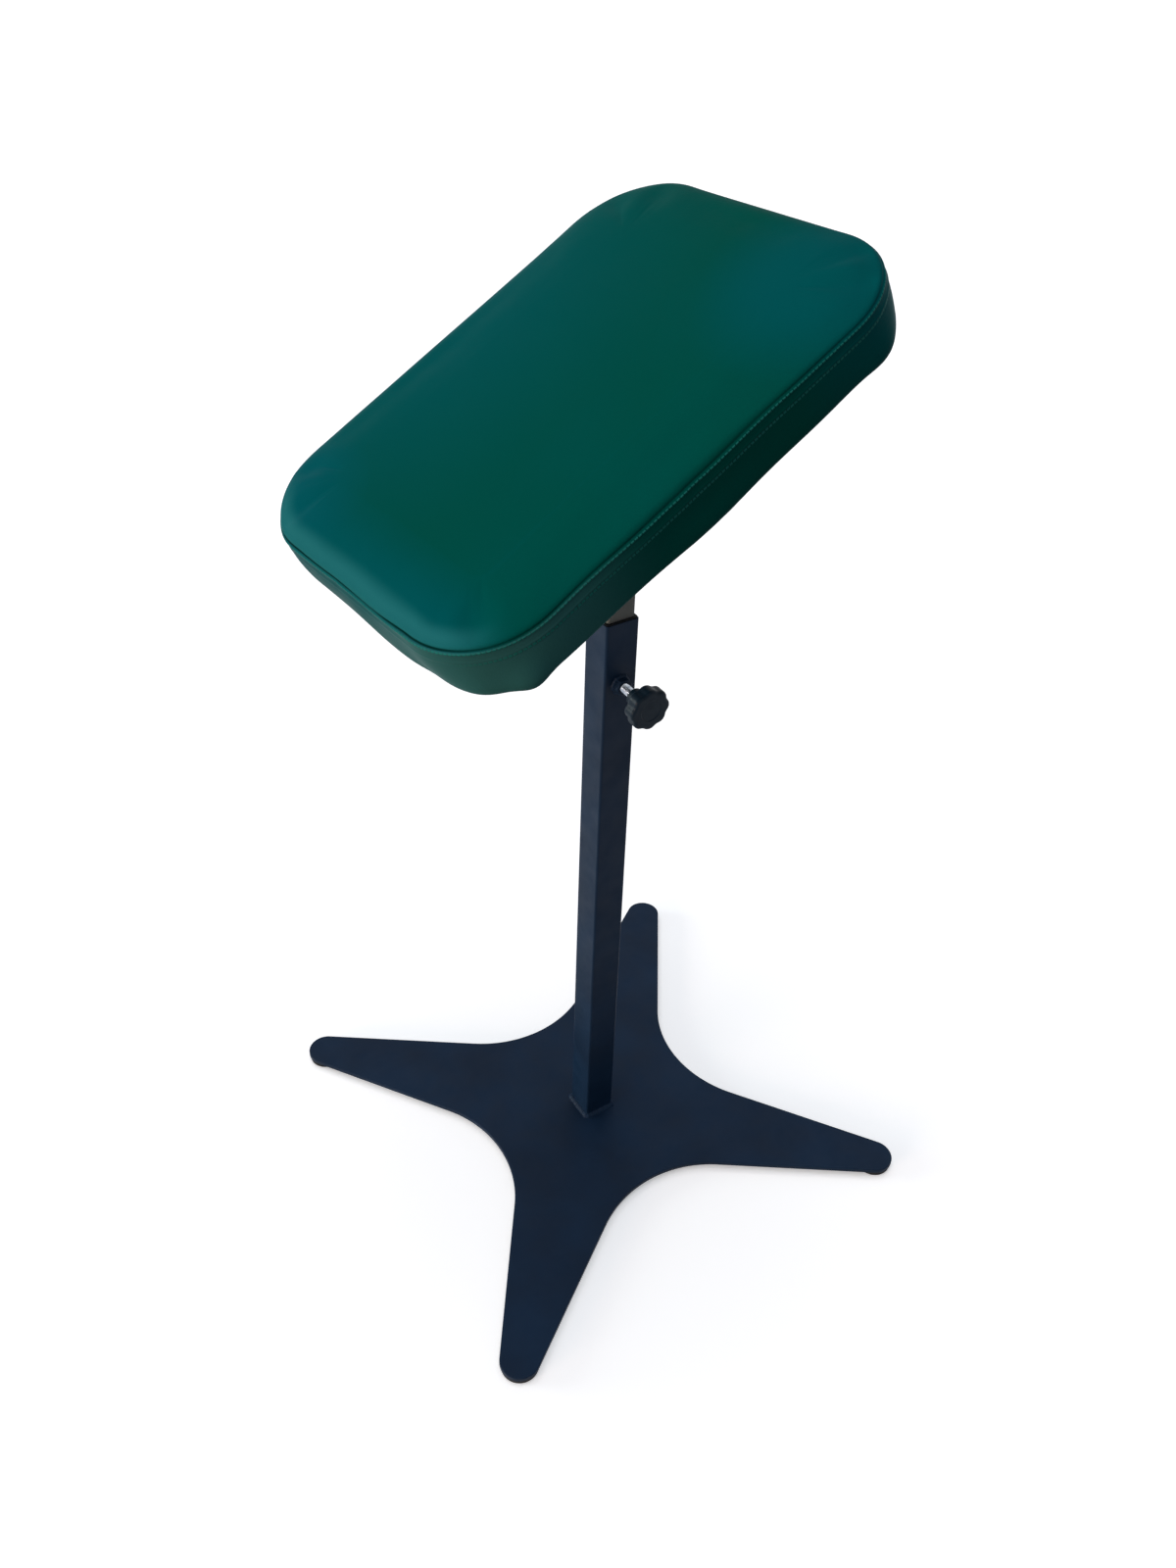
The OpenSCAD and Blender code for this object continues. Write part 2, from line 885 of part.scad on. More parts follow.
module pad_board() {
    color("#b08a5c")
        at_pivot()
            difference() {
                at_pad()
                    translate([0, 0, board_z])
                        linear_extrude(board_t)
                            pad_outline(board_inset);
                at_screws() {
                    translate([0, 0, board_z - cut_over])
                        cylinder(h = board_t + 2 * cut_over, r = small_r + tee_barrel_wall + seat_gap);
                    translate([0, 0, board_top - tee_flange_t - seat_gap])
                        cylinder(h = tee_flange_t + cut_over, r = small_r + tee_rim + seat_gap);
                }
            }
}

module foam_core() {
    skin = cover_t + foam_gap;
    low = board_top + seat_gap;
    levels = [for (l = band_levels(skin)) if (l[1] > low) l];
    color("#d9cf9a")
        at_pivot()
            at_pad()
                capped_loft(
                    concat([[skin - swell(low), low]], levels, crown_levels(skin)),
                    low,
                    seam_z + roll_h - skin + crown_rise
                );
}

module top_panel() {
    color("#01484a")
        at_pivot()
            at_pad()
                capped_loft(
                    concat(reversed(crown_levels(cover_t)), crown_levels(0)),
                    seam_z + roll_h - cover_t + crown_rise,
                    seam_z + roll_h + crown_rise
                );
}

module side_band() {
    color("#013c3e")
        at_pivot()
            at_pad()
                ring_loft(
                    concat(
                        [[hem_w, hem_z]],
                        band_levels(0),
                        reversed(band_levels(cover_t)),
                        [[hem_w, hem_z + cover_t]]
                    )
                );
}

module dust_cloth() {
    color("#17181a")
        at_pivot()
            difference() {
                at_pad()
                    difference() {
                        translate([0, 0, hem_z - cloth_t])
                            linear_extrude(cover_t + cloth_t)
                                pad_outline(cloth_edge);
                        translate([0, 0, hem_z])
                            linear_extrude(cover_t + cut_over)
                                difference() {
                                    pad_outline(cloth_edge - cut_over);
                                    pad_outline(hem_in);
                                }
                        translate([0, 0, hem_z - cloth_t - cut_over])
                            linear_extrude(cover_t + cut_over)
                                pad_outline(hem_in + cloth_t);
                    }
                at_screws()
                    translate([0, 0, pad_gap - cut_over])
                        cylinder(h = cloth_t + 2 * cut_over, r = small_r + tee_barrel_wall);
            }
}

module staple() {
    for (x = [-1, 1])
        translate([x * (staple_w - wire_t) / 2 - wire_t / 2, -wire_t / 2, 0])
            cube([wire_t, wire_t, staple_leg]);
    translate([-staple_w / 2, -wire_t / 2, -wire_t])
        cube([staple_w, wire_t, wire_t]);
}

module staples() {
    corner = pad_corner_r - staple_edge;
    color("#b9bcc0")
        at_pivot()
            at_pad()
                translate([0, 0, hem_z - cloth_t])
                    for (q = [0:3]) {
                        long_side = q % 2 == 0;
                        count = staple_counts[long_side ? 0 : 1];
                        run = (long_side ? pad_l : pad_w) - 2 * pad_corner_r;
                        away = (long_side ? pad_w : pad_l) / 2 - staple_edge;
                        centre = corner_c(q, pad_l / 2, pad_w / 2, pad_corner_r);
                        rotate(quarter * (q + 1))
                            for (i = [0:count - 1])
                                translate([away, run * ((i + 1) / (count + 1) - 1 / 2), 0])
                                    rotate(quarter)
                                        staple();
                        translate([centre.x, centre.y, 0])
                            for (i = [1:staple_counts[2]])
                                rotate(quarter * (q + i / (staple_counts[2] + 1)))
                                    translate([corner, 0, 0])
                                        rotate(quarter)
                                            staple();
                    }
}

base_plate();
rubber_feet();
outer_tube();
foot_weld();
clamp_nut();
nut_weld();
guide_bush();
inner_tube();
glide_plug();
tube_cap();
pivot_sleeve();
height_stud();
height_knob();
tilt_fork();
bracket_plate();
fork_weld();
tilt_bolt();
pivot_washers();
clamp_washer();
tilt_insert();
tilt_knob();
bracket_screws();
screw_washers();
tee_nuts();
pad_board();
foam_core();
top_panel();
side_band();
dust_cloth();
staples();
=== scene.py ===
"""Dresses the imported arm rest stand: camera, light, finishes, the padded cover and the fine
rigid pieces.

Lengths are in millimetres until a piece's mesh is made, in metres. The frame is the CAD
model's: Z up, the origin on the floor under the post.
"""

import bpy
import numpy as np
from mathutils import Matrix, Vector


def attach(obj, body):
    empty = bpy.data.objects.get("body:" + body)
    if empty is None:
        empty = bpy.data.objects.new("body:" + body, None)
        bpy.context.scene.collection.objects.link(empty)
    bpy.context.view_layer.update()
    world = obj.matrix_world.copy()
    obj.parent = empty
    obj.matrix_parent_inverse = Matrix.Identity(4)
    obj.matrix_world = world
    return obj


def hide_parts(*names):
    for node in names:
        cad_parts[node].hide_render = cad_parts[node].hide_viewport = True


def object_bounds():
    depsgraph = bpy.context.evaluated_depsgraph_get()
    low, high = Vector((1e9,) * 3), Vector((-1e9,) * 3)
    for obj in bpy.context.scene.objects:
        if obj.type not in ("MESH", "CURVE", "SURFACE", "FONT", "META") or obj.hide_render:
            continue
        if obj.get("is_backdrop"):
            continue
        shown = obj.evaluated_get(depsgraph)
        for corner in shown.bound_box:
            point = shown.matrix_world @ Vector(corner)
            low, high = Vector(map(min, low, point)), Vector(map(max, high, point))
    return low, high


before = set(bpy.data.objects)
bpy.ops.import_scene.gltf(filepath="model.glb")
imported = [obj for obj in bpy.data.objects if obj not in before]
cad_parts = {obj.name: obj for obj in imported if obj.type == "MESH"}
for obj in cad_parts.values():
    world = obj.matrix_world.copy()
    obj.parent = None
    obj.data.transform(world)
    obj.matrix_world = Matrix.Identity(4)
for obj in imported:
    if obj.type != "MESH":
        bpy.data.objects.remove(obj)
cad_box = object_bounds()

MM = 0.001
FULL_TURN = 2 * np.pi

# Sizes of the CAD model, in millimetres and degrees, first the foot plate and rubber feet
ARM_REACH, TIP_R = 289, 18
WAIST, HOLLOW_R = 109, 116
RUBBER_R, RUBBER_H, PLATE_T = 17, 6, 5
PLATE_TOP = RUBBER_H + PLATE_T

# Post, and the legs of the weld at its foot
POST_W, POST_CORNER_R, POST_WELD_LEG = 30, 2, 3.7

# Clamps, as distances from the post's axis towards -Y
CLAMP_Z, STUD_TIP, KNOB_FACE = 535, 12.7, 34
SCREW_R, PITCH = 4, 1.25
NUT_AF, NUT_H, NUT_WELD_LEG = 13, 6.5, 2
LOBES, KNOB_R, LOBE_R, SCALLOP_R = 8, 17.8, 7, 8
GRIP_T, HUB_R, HUB_L, THREAD_IN_GRIP = 12, 7.2, 12, 7
INSERT_R, INSERT_L, TILT_KNOB_FACE = 5.4, 11, 18.3
RECESS_D, RECESS_WALL, RIM_R = 5, 3, 2.5
# Clearance of a seat or thread
SEAT = 0.05

# Tilt bracket, in the frame of the tilt axis
AXIS_Z, TILT = 718, 28.4
EAR_W, BRACKET_Z = 30, 32
FORK_BEAD_HALF, FORK_WELD_LEG = 11.4, 2.6

# Pad, as heights over the tilt axis
PAD_L, PAD_W, PAD_CORNER_R = 395, 295, 67
PAD_SHIFT, PAD_SKEW = -15, 4.4
HEM_Z, SEAM_Z, ROLL_H, ROLL_W = 34.5, 72.5, 6.5, 20
UNDER_R, HEM_W, SIDE_DRAW, BAND_SWELL = 4, 24, 1.5, 1
CLOTH_T, CLOTH_EDGE = 0.6, 10

# Camera: the photograph's, worked out from the foot's and the post's outlines
CAMERA_AT = (-0.51225, -0.74159, 1.12749)
CAMERA_YAW, CAMERA_PITCH, CAMERA_ROLL = np.radians([33.7135, 37.9516, 1.948])
LENS_MM, SENSOR_MM = 31.07, 36


def place_camera():
    """The camera looks down and ahead: rolled about its own axis, raised from looking straight
    down to its pitch, and turned by its yaw from +Y towards +X."""
    data = bpy.data.cameras.new("photo_camera")
    data.lens, data.sensor_width, data.sensor_fit = LENS_MM, SENSOR_MM, "AUTO"
    data.clip_end = 100
    camera = bpy.data.objects.new("photo_camera", data)
    camera.matrix_world = Matrix.Translation(CAMERA_AT)
    for angle, axis in ((-CAMERA_YAW, "Z"), (np.pi / 2 - CAMERA_PITCH, "X"), (CAMERA_ROLL, "Z")):
        camera.matrix_world = camera.matrix_world @ Matrix.Rotation(angle, 4, axis)
    bpy.context.scene.collection.objects.link(camera)
    bpy.context.scene.camera = camera


place_camera()
bpy.context.scene.view_settings.view_transform = "Standard"

# Places


def turned_by(p, degrees, first, second):
    """Points turned from one axis towards another."""
    c, s = np.cos(np.radians(degrees)), np.sin(np.radians(degrees))
    q = p.copy()
    q[..., first] = c * p[..., first] - s * p[..., second]
    q[..., second] = s * p[..., first] + c * p[..., second]
    return q


def on_pivot(p):
    """From the tilt axis's frame: the tilt about Y, and up to the axis."""
    return turned_by(p, TILT, 0, 2) + [0, 0, AXIS_Z]


def on_pad(p):
    """From the pad's frame: its turn and shift on the bracket, then the tilt axis's frame."""
    return on_pivot(turned_by(p, PAD_SKEW, 0, 1) + [PAD_SHIFT, 0, 0])


def outwards(p, distance):
    """From a clamp's frame, whose Z points out of the -Y side from a distance off the axis."""
    return np.stack([p[..., 0], -p[..., 2] - distance, p[..., 1]], -1)


# Finishes


def srgb(code):
    """A hex colour as linear RGBA."""
    value = np.array([int(code[i : i + 2], 16) for i in (0, 2, 4)]) / 255
    linear = np.where(value < 0.04045, value / 12.92, ((value + 0.055) / 1.055) ** 2.4)
    return (*linear.tolist(), 1)


def add(tree, kind, out=0, sockets=(), **settings):
    """A node with its settings, its sockets given values or other nodes' outputs, and the
    output that is wanted of it."""
    node = tree.nodes.new("ShaderNode" + kind)
    for name, value in settings.items():
        setattr(node, name, value)
    for key, value in dict(sockets).items():
        if isinstance(value, bpy.types.NodeSocket):
            tree.links.new(value, node.inputs[key])
        else:
            node.inputs[key].default_value = value
    return node.outputs[out]


def finish(name, pattern, **even):
    """A material: even values go straight onto the shader, and pattern(tree, place) gives the
    sockets that vary, from Object coordinates in metres."""
    material = bpy.data.materials.new(name)
    material.use_nodes = True
    tree = material.node_tree
    shader = tree.nodes["Principled BSDF"]
    for key, value in even.items():
        shader.inputs[key.replace("_", " ")].default_value = value
    place = add(tree, "TexCoord", "Object")
    for key, socket in pattern(tree, place).items():
        tree.links.new(socket, shader.inputs[key.replace("_", " ")])
    return material


def across(mm):
    """A texture scale at which one lump, cell or line is this many millimetres across."""
    return 1 / (mm * MM)


def patches(tree, place, mm, detail=3):
    """Soft patches about this many millimetres across, from 0 to 1."""
    cloud = add(tree, "TexNoise", 0, {"Vector": place, "Scale": across(mm), "Detail": detail})
    return add(tree, "MapRange", 0, {"Value": cloud, "From Min": 0.35, "From Max": 0.65})


def powder_coat(tree, place):
    """Matt black polyester powder, sprayed and baked: an orange peel, a blue cast, and duller
    patches where the powder fell thinner."""
    thin = patches(tree, place, 70)
    low, high = srgb("081b2f"), srgb("0d233a")
    tone = add(tree, "Mix", 2, {0: thin, 6: low, 7: high}, data_type="RGBA")
    smear = add(tree, "TexNoise", 0, {"Vector": place, "Scale": across(18), "Detail": 4})
    rough = {"Value": smear, "From Min": 0.3, "From Max": 0.7, "To Min": 0.46, "To Max": 0.6}
    # Real orange peel is 0.5 to 1 mm across; at 1.8 mm it shows.
    peel = add(tree, "TexNoise", 0, {"Vector": place, "Scale": across(1.8), "Detail": 2})
    bump = add(tree, "Bump", 0, {"Height": peel, "Distance": 0.03 * MM})
    return {"Base_Color": tone, "Roughness": add(tree, "MapRange", 0, rough), "Normal": bump}


def sliding_enamel(tree, place):
    """Brownish grey enamel that slides in a bush: fine scratches along the tube."""
    # Real scratches are 0.1 mm wide; at 0.8 mm they show.
    along = add(tree, "Mapping", 0, {"Vector": place, "Scale": (1, 1, 0.02)})
    lines = add(tree, "TexNoise", 0, {"Vector": along, "Scale": across(0.8), "Detail": 3})
    wear = add(tree, "Mapping", 0, {"Vector": place, "Scale": (1, 1, 0.2)})
    cloud = add(tree, "TexNoise", 0, {"Vector": wear, "Scale": across(14), "Detail": 3})
    rub = add(tree, "MapRange", 0, {"Value": cloud, "From Min": 0.35, "From Max": 0.7})
    low, high = srgb("555a58"), srgb("636763")
    tone = add(tree, "Mix", 2, {0: rub, 6: low, 7: high}, data_type="RGBA")
    rough = {"Value": lines, "From Min": 0.3, "From Max": 0.7, "To Min": 0.36, "To Max": 0.55}
    bump = add(tree, "Bump", 0, {"Height": lines, "Distance": 0.015 * MM})
    return {"Base_Color": tone, "Roughness": add(tree, "MapRange", 0, rough), "Normal": bump}


# The leatherette's own map, and where along it the low edge's middle and low front corner lie
SEAM_MAP, LOW_END, LOW_CORNER = "seam", 499, 640
# Where light is painted on it: the roll's middle over the seam, for the painted sheen,
# and the middle of the widest painted bluish light
ROLL_MIDDLE, COOL_LIGHT_ALONG = 7, LOW_END - 30
# Bluish light painted on the pad's top: x, y, and the distances at which it is full and ends
PAINTED_COOL_LIGHT_AT = [(0, 230, 60, 330), (150, -100, 30, 110), (-160, 110, 20, 90)]
# A stitch's length, and the distances of both rows from the seam; their paler thread also
# paints a highlight on the seam's lip and near the allowance's edge
STITCH, STITCH_ROW, SECOND_ROW = 3.2, -1.9, -10


def near(tree, value, middle, full, none, most=1):
    """How near a value lies to a middle: the most up to one distance, none past another."""
    away = add(tree, "Math", 0, {0: value, 1: middle}, operation="SUBTRACT")
    away = add(tree, "Math", 0, {0: away}, operation="ABSOLUTE")
    fall = {"Value": away, "From Min": full, "From Max": none, "To Min": most, "To Max": 0}
    return add(tree, "MapRange", 0, fall, interpolation_type="SMOOTHSTEP")


def drift_and_cool_light_tone(tree, place):
    """A slow random drift between two greens, and painted bluish light: the bluer one near each
    listed place.
    """
    cloud = add(tree, "TexNoise", 0, {"Vector": place, "Scale": across(190), "Detail": 2})
    cloud = {"Value": cloud, "From Min": 0.35, "From Max": 0.65, "To Max": 0.25}
    drift = add(tree, "MapRange", 0, cloud)
    for x, y, full, none in PAINTED_COOL_LIGHT_AT:
        spot = on_pad(np.array([x, y, SEAM_Z + ROLL_H])) * MM
        away = {0: place, 1: spot.tolist()}
        away = add(tree, "VectorMath", 1, away, operation="DISTANCE")
        spot = near(tree, away, 0, full * MM, none * MM)
        drift = add(tree, "Math", 0, {0: drift, 1: spot}, operation="MAXIMUM")
    low, high = srgb("00433b"), srgb("00484b")
    return add(tree, "Mix", 2, {0: drift, 6: low, 7: high}, data_type="RGBA")


def painted_light_tone(tree, tone, along, above, end):
    """Light painted into the tone: bluer light over the low end, a paler painted sheen on the low
    edge's roll, and paler painted light on the band at the low front corner."""
    cool_light_share = near(tree, along, COOL_LIGHT_ALONG, 120, 210, 0.6)
    cool_light_share = {0: cool_light_share, 1: near(tree, above, ROLL_MIDDLE, 10, 60)}
    painted_sheen = {0: end, 1: near(tree, above, ROLL_MIDDLE, 1, 15, 0.9)}
    band = add(tree, "MapRange", 0, {"Value": above, "From Min": -1.5, "From Max": -0.5})
    band = add(tree, "Math", 0, {0: 1, 1: band}, operation="SUBTRACT")
    painted_corner_light = {0: near(tree, along, LOW_CORNER, 40, 135), 1: band}
    # Painted light: bluish light, the roll's sheen and light on the corner's band, each mixed in as
    # a green.
    for share, code in ((cool_light_share, "004b54"), (painted_sheen, "1c6165"), (painted_corner_light, "2a5b5b")):
        share = add(tree, "Math", 0, share, operation="MULTIPLY")
        tone = add(tree, "Mix", 2, {0: share, 6: tone, 7: srgb(code)}, data_type="RGBA")
    return tone


def stitches_and_seam_highlight(tree, along, above, end):
    """How much of a stitch's thread shows: two dashed rows, the second one nearly vanishing at the
    low end. Their paler green also paints a highlight on the seam's lip and the allowance's edge."""
    side = add(tree, "MapRange", 0, {"Value": end, "To Min": 1, "To Max": 0.1})
    second = {0: near(tree, above, SECOND_ROW, 0.5, 1.2), 1: side}
    second = add(tree, "Math", 0, second, operation="MULTIPLY")
    rows = {0: near(tree, above, STITCH_ROW, 0.3, 0.9), 1: second}
    rows = add(tree, "Math", 0, rows, operation="ADD")
    dash = add(tree, "Math", 0, {0: along, 1: STITCH / 2}, operation="PINGPONG")
    dash = add(tree, "MapRange", 0, {"Value": dash, "From Min": 0.25, "From Max": 0.5})
    return add(tree, "Math", 0, {0: rows, 1: dash}, operation="MULTIPLY")


def leatherette(tree, place):
    """Green PVC leatherette with a satin top coat: an embossed grain of rounded cells, and soft
    waves from the foam below. Its map gives the distance along the seam and the distance from
    it, in millimetres."""
    along = add(tree, "SeparateXYZ", 0, {0: add(tree, "UVMap", 0, uv_map=SEAM_MAP)})
    above = along.node.outputs[1]
    end = near(tree, along, LOW_END, 100, 165)
    tone = painted_light_tone(tree, drift_and_cool_light_tone(tree, place), along, above, end)
    thread = stitches_and_seam_highlight(tree, along, above, end)
    # The thread's paler green also paints the highlight along the seam's lip.
    tone = add(tree, "Mix", 2, {0: thread, 6: tone, 7: srgb("1f6b65")}, data_type="RGBA")
    # Painted shade: the groove's colour is darkened, most at the low end, where the seam pulls it
    # in most.
    groove_shade_share = add(tree, "MapRange", 0, {"Value": end, "To Min": 0.05, "To Max": 0.9})
    groove = {0: near(tree, above, 0.2, 0.4, 1.1), 1: groove_shade_share}
    groove = add(tree, "Math", 0, groove, operation="MULTIPLY")
    tone = add(tree, "Mix", 2, {0: groove, 6: tone, 7: srgb("001f1c")}, data_type="RGBA")
    smear = add(tree, "TexNoise", 0, {"Vector": place, "Scale": across(35), "Detail": 3})
    rough = {"Value": smear, "From Min": 0.3, "From Max": 0.7, "To Min": 0.36, "To Max": 0.46}
    # Real grain is 0.6 to 1 mm across; at 1.4 mm it shows.
    cells = add(tree, "TexVoronoi", 0, {"Vector": place, "Scale": across(1.4)})
    dome = {"Value": cells, "From Max": 0.75, "To Min": 1, "To Max": 0}
    waves = add(tree, "TexNoise", 0, {"Vector": place, "Scale": across(9), "Detail": 2})
    bump = add(tree, "Bump", 0, {"Height": waves, "Distance": 0.06 * MM})
    bump = add(tree, "Bump", 0, {"Height": thread, "Distance": 0.3 * MM, "Normal": bump})
    grain = {"Height": add(tree, "MapRange", 0, dome), "Distance": 0.05 * MM, "Normal": bump}
    bump = add(tree, "Bump", 0, grain)
    return {"Base_Color": tone, "Roughness": add(tree, "MapRange", 0, rough), "Normal": bump}


def patchy(low, high, rough, depth_mm, patch, grain, stretch=(1, 1, 1)):
    """A finish of two tones in soft patches, whose roughness goes with them, over a fine
    relief. Patch and grain are each a width in millimetres and a noise detail."""

    def pattern(tree, place):
        cloud = patches(tree, place, *patch)
        tone = add(tree, "Mix", 2, {0: cloud, 6: srgb(low), 7: srgb(high)}, data_type="RGBA")
        dull = {"Value": cloud, "To Min": rough[0], "To Max": rough[1]}
        drawn = add(tree, "Mapping", 0, {"Vector": place, "Scale": stretch})
        fine = {"Vector": drawn, "Scale": across(grain[0]), "Detail": grain[1]}
        fine = add(tree, "TexNoise", 0, fine)
        bump = add(tree, "Bump", 0, {"Height": fine, "Distance": depth_mm * MM})
        return {"Base_Color": tone, "Roughness": add(tree, "MapRange", 0, dull), "Normal": bump}

    return pattern


def plated(low, high, rough, depth_mm):
    """Zinc plate, or bare steel, over turned metal: tool lines round the part and a cloudy
    brightness from the bath."""
    # Real tool lines are 0.1 mm apart; at 0.5 mm they show.
    rough = (rough, rough + 0.12)
    return patchy(low, high, rough, depth_mm, (5, 3), (0.5, 2), stretch=(0.1, 1, 0.1))


def moulded(low, high, rough, depth_mm):
    """Moulded rubber or nylon: dull, with a gritty skin and a slight bloom."""
    # Real grit is 0.1 mm; at 0.8 mm it shows.
    return patchy(low, high, (rough, rough + 0.12), depth_mm, (12, 4), (0.8, 3))


# Thickness of a ply
PLY_T = 1.4


def birch_plywood(tree, place):
    """Sanded birch plywood: its plies show as bands at its edge and in its holes, and long
    pores run through the faces."""
    flat = add(tree, "Mapping", 0, {"Vector": place, "Rotation": (0, np.radians(TILT), 0)})
    height = add(tree, "SeparateXYZ", 2, {0: flat})
    ply = add(tree, "Math", 0, {0: height, 1: PLY_T * MM}, operation="PINGPONG")
    band = add(tree, "MapRange", 0, {"Value": ply, "From Max": PLY_T * MM})
    # Real pores are 0.1 mm wide; at 1.2 mm they show.
    long = add(tree, "Mapping", 0, {"Vector": flat, "Scale": (0.06, 1, 1)})
    pores = add(tree, "TexNoise", 0, {"Vector": long, "Scale": across(1.2), "Detail": 4})
    open_pores = {"Value": pores, "From Min": 0.45, "From Max": 0.75, "To Max": 0.6}
    wood = {0: band, 6: srgb("a67c4c"), 7: srgb("c9a06c")}
    tone = add(tree, "Mix", 2, wood, data_type="RGBA")
    dark = {0: add(tree, "MapRange", 0, open_pores), 6: tone, 7: srgb("7b5833")}
    return {
        "Base_Color": add(tree, "Mix", 2, dark, data_type="RGBA"),
        "Roughness": add(tree, "MapRange", 0, {"Value": pores, "To Min": 0.6, "To Max": 0.8}),
        "Normal": add(tree, "Bump", 0, {"Height": pores, "Distance": 0.05 * MM}),
    }


def spunbond(tree, place):
    """Black spunbond dust cloth: hair-fine fibres laid at random and pressed together in a
    pattern of small dots."""
    # Real fibres are 0.02 mm thick; their tangle, 1.2 mm across, is what shows.
    fibres = {"Vector": place, "Scale": across(1.2), "Detail": 6, "Roughness": 0.7}
    fuzz = add(tree, "TexNoise", 0, fibres)
    # Real press dots stand 1.2 mm apart; at 2.4 mm they show.
    dots = {"Vector": place, "Scale": across(2.4), "Randomness": 0.1}
    dot = add(tree, "TexVoronoi", 0, dots)
    pressed = add(tree, "MapRange", 0, {"Value": dot, "From Min": 0.15, "From Max": 0.35})
    low, high = srgb("0f1012"), srgb("25272a")
    tone = add(tree, "Mix", 2, {0: fuzz, 6: low, 7: high}, data_type="RGBA")
    bump = add(tree, "Bump", 0, {"Height": pressed, "Distance": 0.15 * MM})
    return {
        "Base_Color": tone,
        "Roughness": add(tree, "MapRange", 0, {"Value": fuzz, "To Min": 0.8, "To Max": 1}),
        "Normal": add(tree, "Bump", 0, {"Height": fuzz, "Distance": 0.08 * MM, "Normal": bump}),
    }


COAT = finish("powder_coat_black", powder_coat, IOR=1.45, Specular_IOR_Level=0.12)
ENAMEL = finish("sliding_enamel_grey", sliding_enamel, IOR=1.5, Specular_IOR_Level=0.18)
LEATHERETTE = finish(
    "leatherette_green",
    leatherette,
    IOR=1.45,
    Specular_IOR_Level=0.006,
    Specular_Tint=srgb("8cd4e4"),
    Sheen_Weight=0.06,
    Sheen_Roughness=0.3,
    Sheen_Tint=srgb("3f8fa0"),
)
# Glass-filled nylon from a spark-eroded mould, rubbed slightly shinier in patches by hands.
# Real spark texture is 0.1 mm; at 0.7 mm it shows.
skin = patchy("0a1a26", "10212e", (0.48, 0.36), 0.02, (9, 3), (0.7, 2))
KNOB = finish("nylon_knob_black", skin, IOR=1.5, Specular_IOR_Level=0.09)
BRIGHT = finish("zinc_plated_bright", plated("838e9c", "d2d8e0", 0.16, 0.004), Metallic=1)
ZINC = finish("zinc_plated", plated("a9afb8", "d3d8de", 0.24, 0.008), Metallic=1)
STEEL = finish("turned_steel", plated("8b8e92", "a5a8ac", 0.32, 0.012), Metallic=1)
skin = moulded("0a0b0c", "161718", 0.75, 0.05)
RUBBER = finish("moulded_rubber_black", skin, IOR=1.5, Specular_IOR_Level=0.3)
skin = moulded("07090c", "0c1015", 0.5, 0.02)
NYLON = finish("moulded_nylon_black", skin, IOR=1.5, Specular_IOR_Level=0.07)
PALE_NYLON = finish("moulded_nylon_white", moulded("d3d0c6", "e2dfd7", 0.4, 0.015), IOR=1.5)
PLYWOOD = finish("birch_plywood", birch_plywood, IOR=1.5, Specular_IOR_Level=0.3)
CLOTH = finish("spunbond_black", spunbond, IOR=1.4, Specular_IOR_Level=0.1, Sheen_Weight=0.15)

# The CAD nodes that keep their form
CAD_FINISHES = [
    (COAT, ("outer_tube", "tilt_fork", "bracket_plate")),
    (ENAMEL, ("inner_tube",)),
    (NYLON, ("guide_bush", "glide_plug", "tube_cap")),
    (PALE_NYLON, ("pivot_washers",)),
    (STEEL, ("pivot_sleeve",)),
    (ZINC, ("tilt_bolt", "clamp_washer", "tilt_insert", "bracket_screws", "screw_washers")),
    (ZINC, ("tee_nuts", "staples")),
    (PLYWOOD, ("pad_board",)),
]
for material, names in CAD_FINISHES:
    for name in names:
        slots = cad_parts[name].data.materials
        slots.clear()
        slots.append(material)

# Surfaces


def ring_quads(rows, columns):
    """Faces between rings of points, each ring closed."""
    i = np.arange(rows - 1)[:, None] * columns
    j = np.arange(columns)
    k = (j + 1) % columns
    return np.stack([i + j, i + k, i + columns + k, i + columns + j], -1).reshape(-1, 4)


def shell(rings, hoop=False):
    """Points and faces of a closed form: rings in order, closed by a pole at the middle of its
    first and last ring, or as a hoop by joining the last ring to the first."""
    m, n = rings.shape[:2]
    points = rings.reshape(-1, 3)
    if hoop:
        return points, ring_quads(m + 1, n) % (m * n), np.zeros((0, 3), int)
    k = np.arange(n)
    after = (k + 1) % n
    low = np.stack([after, k, np.full(n, m * n)], -1)
    high = np.stack([k, after, np.full(n, n + 1)], -1) + (m - 1) * n
    points = np.vstack([points, rings[0].mean(0), rings[-1].mean(0)])
    return points, ring_quads(m, n), np.vstack([low, high])


def holds(points, quads, tris):
    """The volume inside, positive where the faces point outwards: the sum of the tetrahedra
    between the origin and the faces."""
    three = np.vstack([quads[:, :3], quads[:, [0, 2, 3]], tris])
    a, b, c = points[three[:, 0]], points[three[:, 1]], points[three[:, 2]]
    return np.einsum("ij,ij->i", a, np.cross(b, c)).sum() / 6


def new_object(name, points, faces):
    """A smoothly shaded object in the scene, from points in millimetres and faces."""
    mesh = bpy.data.meshes.new(name)
    mesh.from_pydata((points * MM).tolist(), [], faces)
    mesh.polygons.foreach_set("use_smooth", np.ones(len(faces), bool))
    made = bpy.data.objects.new(name, mesh)
    bpy.context.scene.collection.objects.link(made)
    return made


def put_piece(name, shells, material, slot, body, *nodes, sharp=35):
    """A piece from shells in millimetres, its faces outwards, its edges sharp past an angle."""
    points, faces, start = [], [], 0
    for p, quads, tris in shells:
        turn = -1 if holds(p, quads, tris) < 0 else 1
        points.append(p)
        faces += (quads[:, ::turn] + start).tolist() + (tris[:, ::turn] + start).tolist()
        start += len(p)
    piece = new_object(name, np.vstack(points), faces)
    piece.data.set_sharp_from_angle(angle=np.radians(sharp))
    piece.data.materials.append(material)
    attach(piece, body)
    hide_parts(*nodes)
    return piece


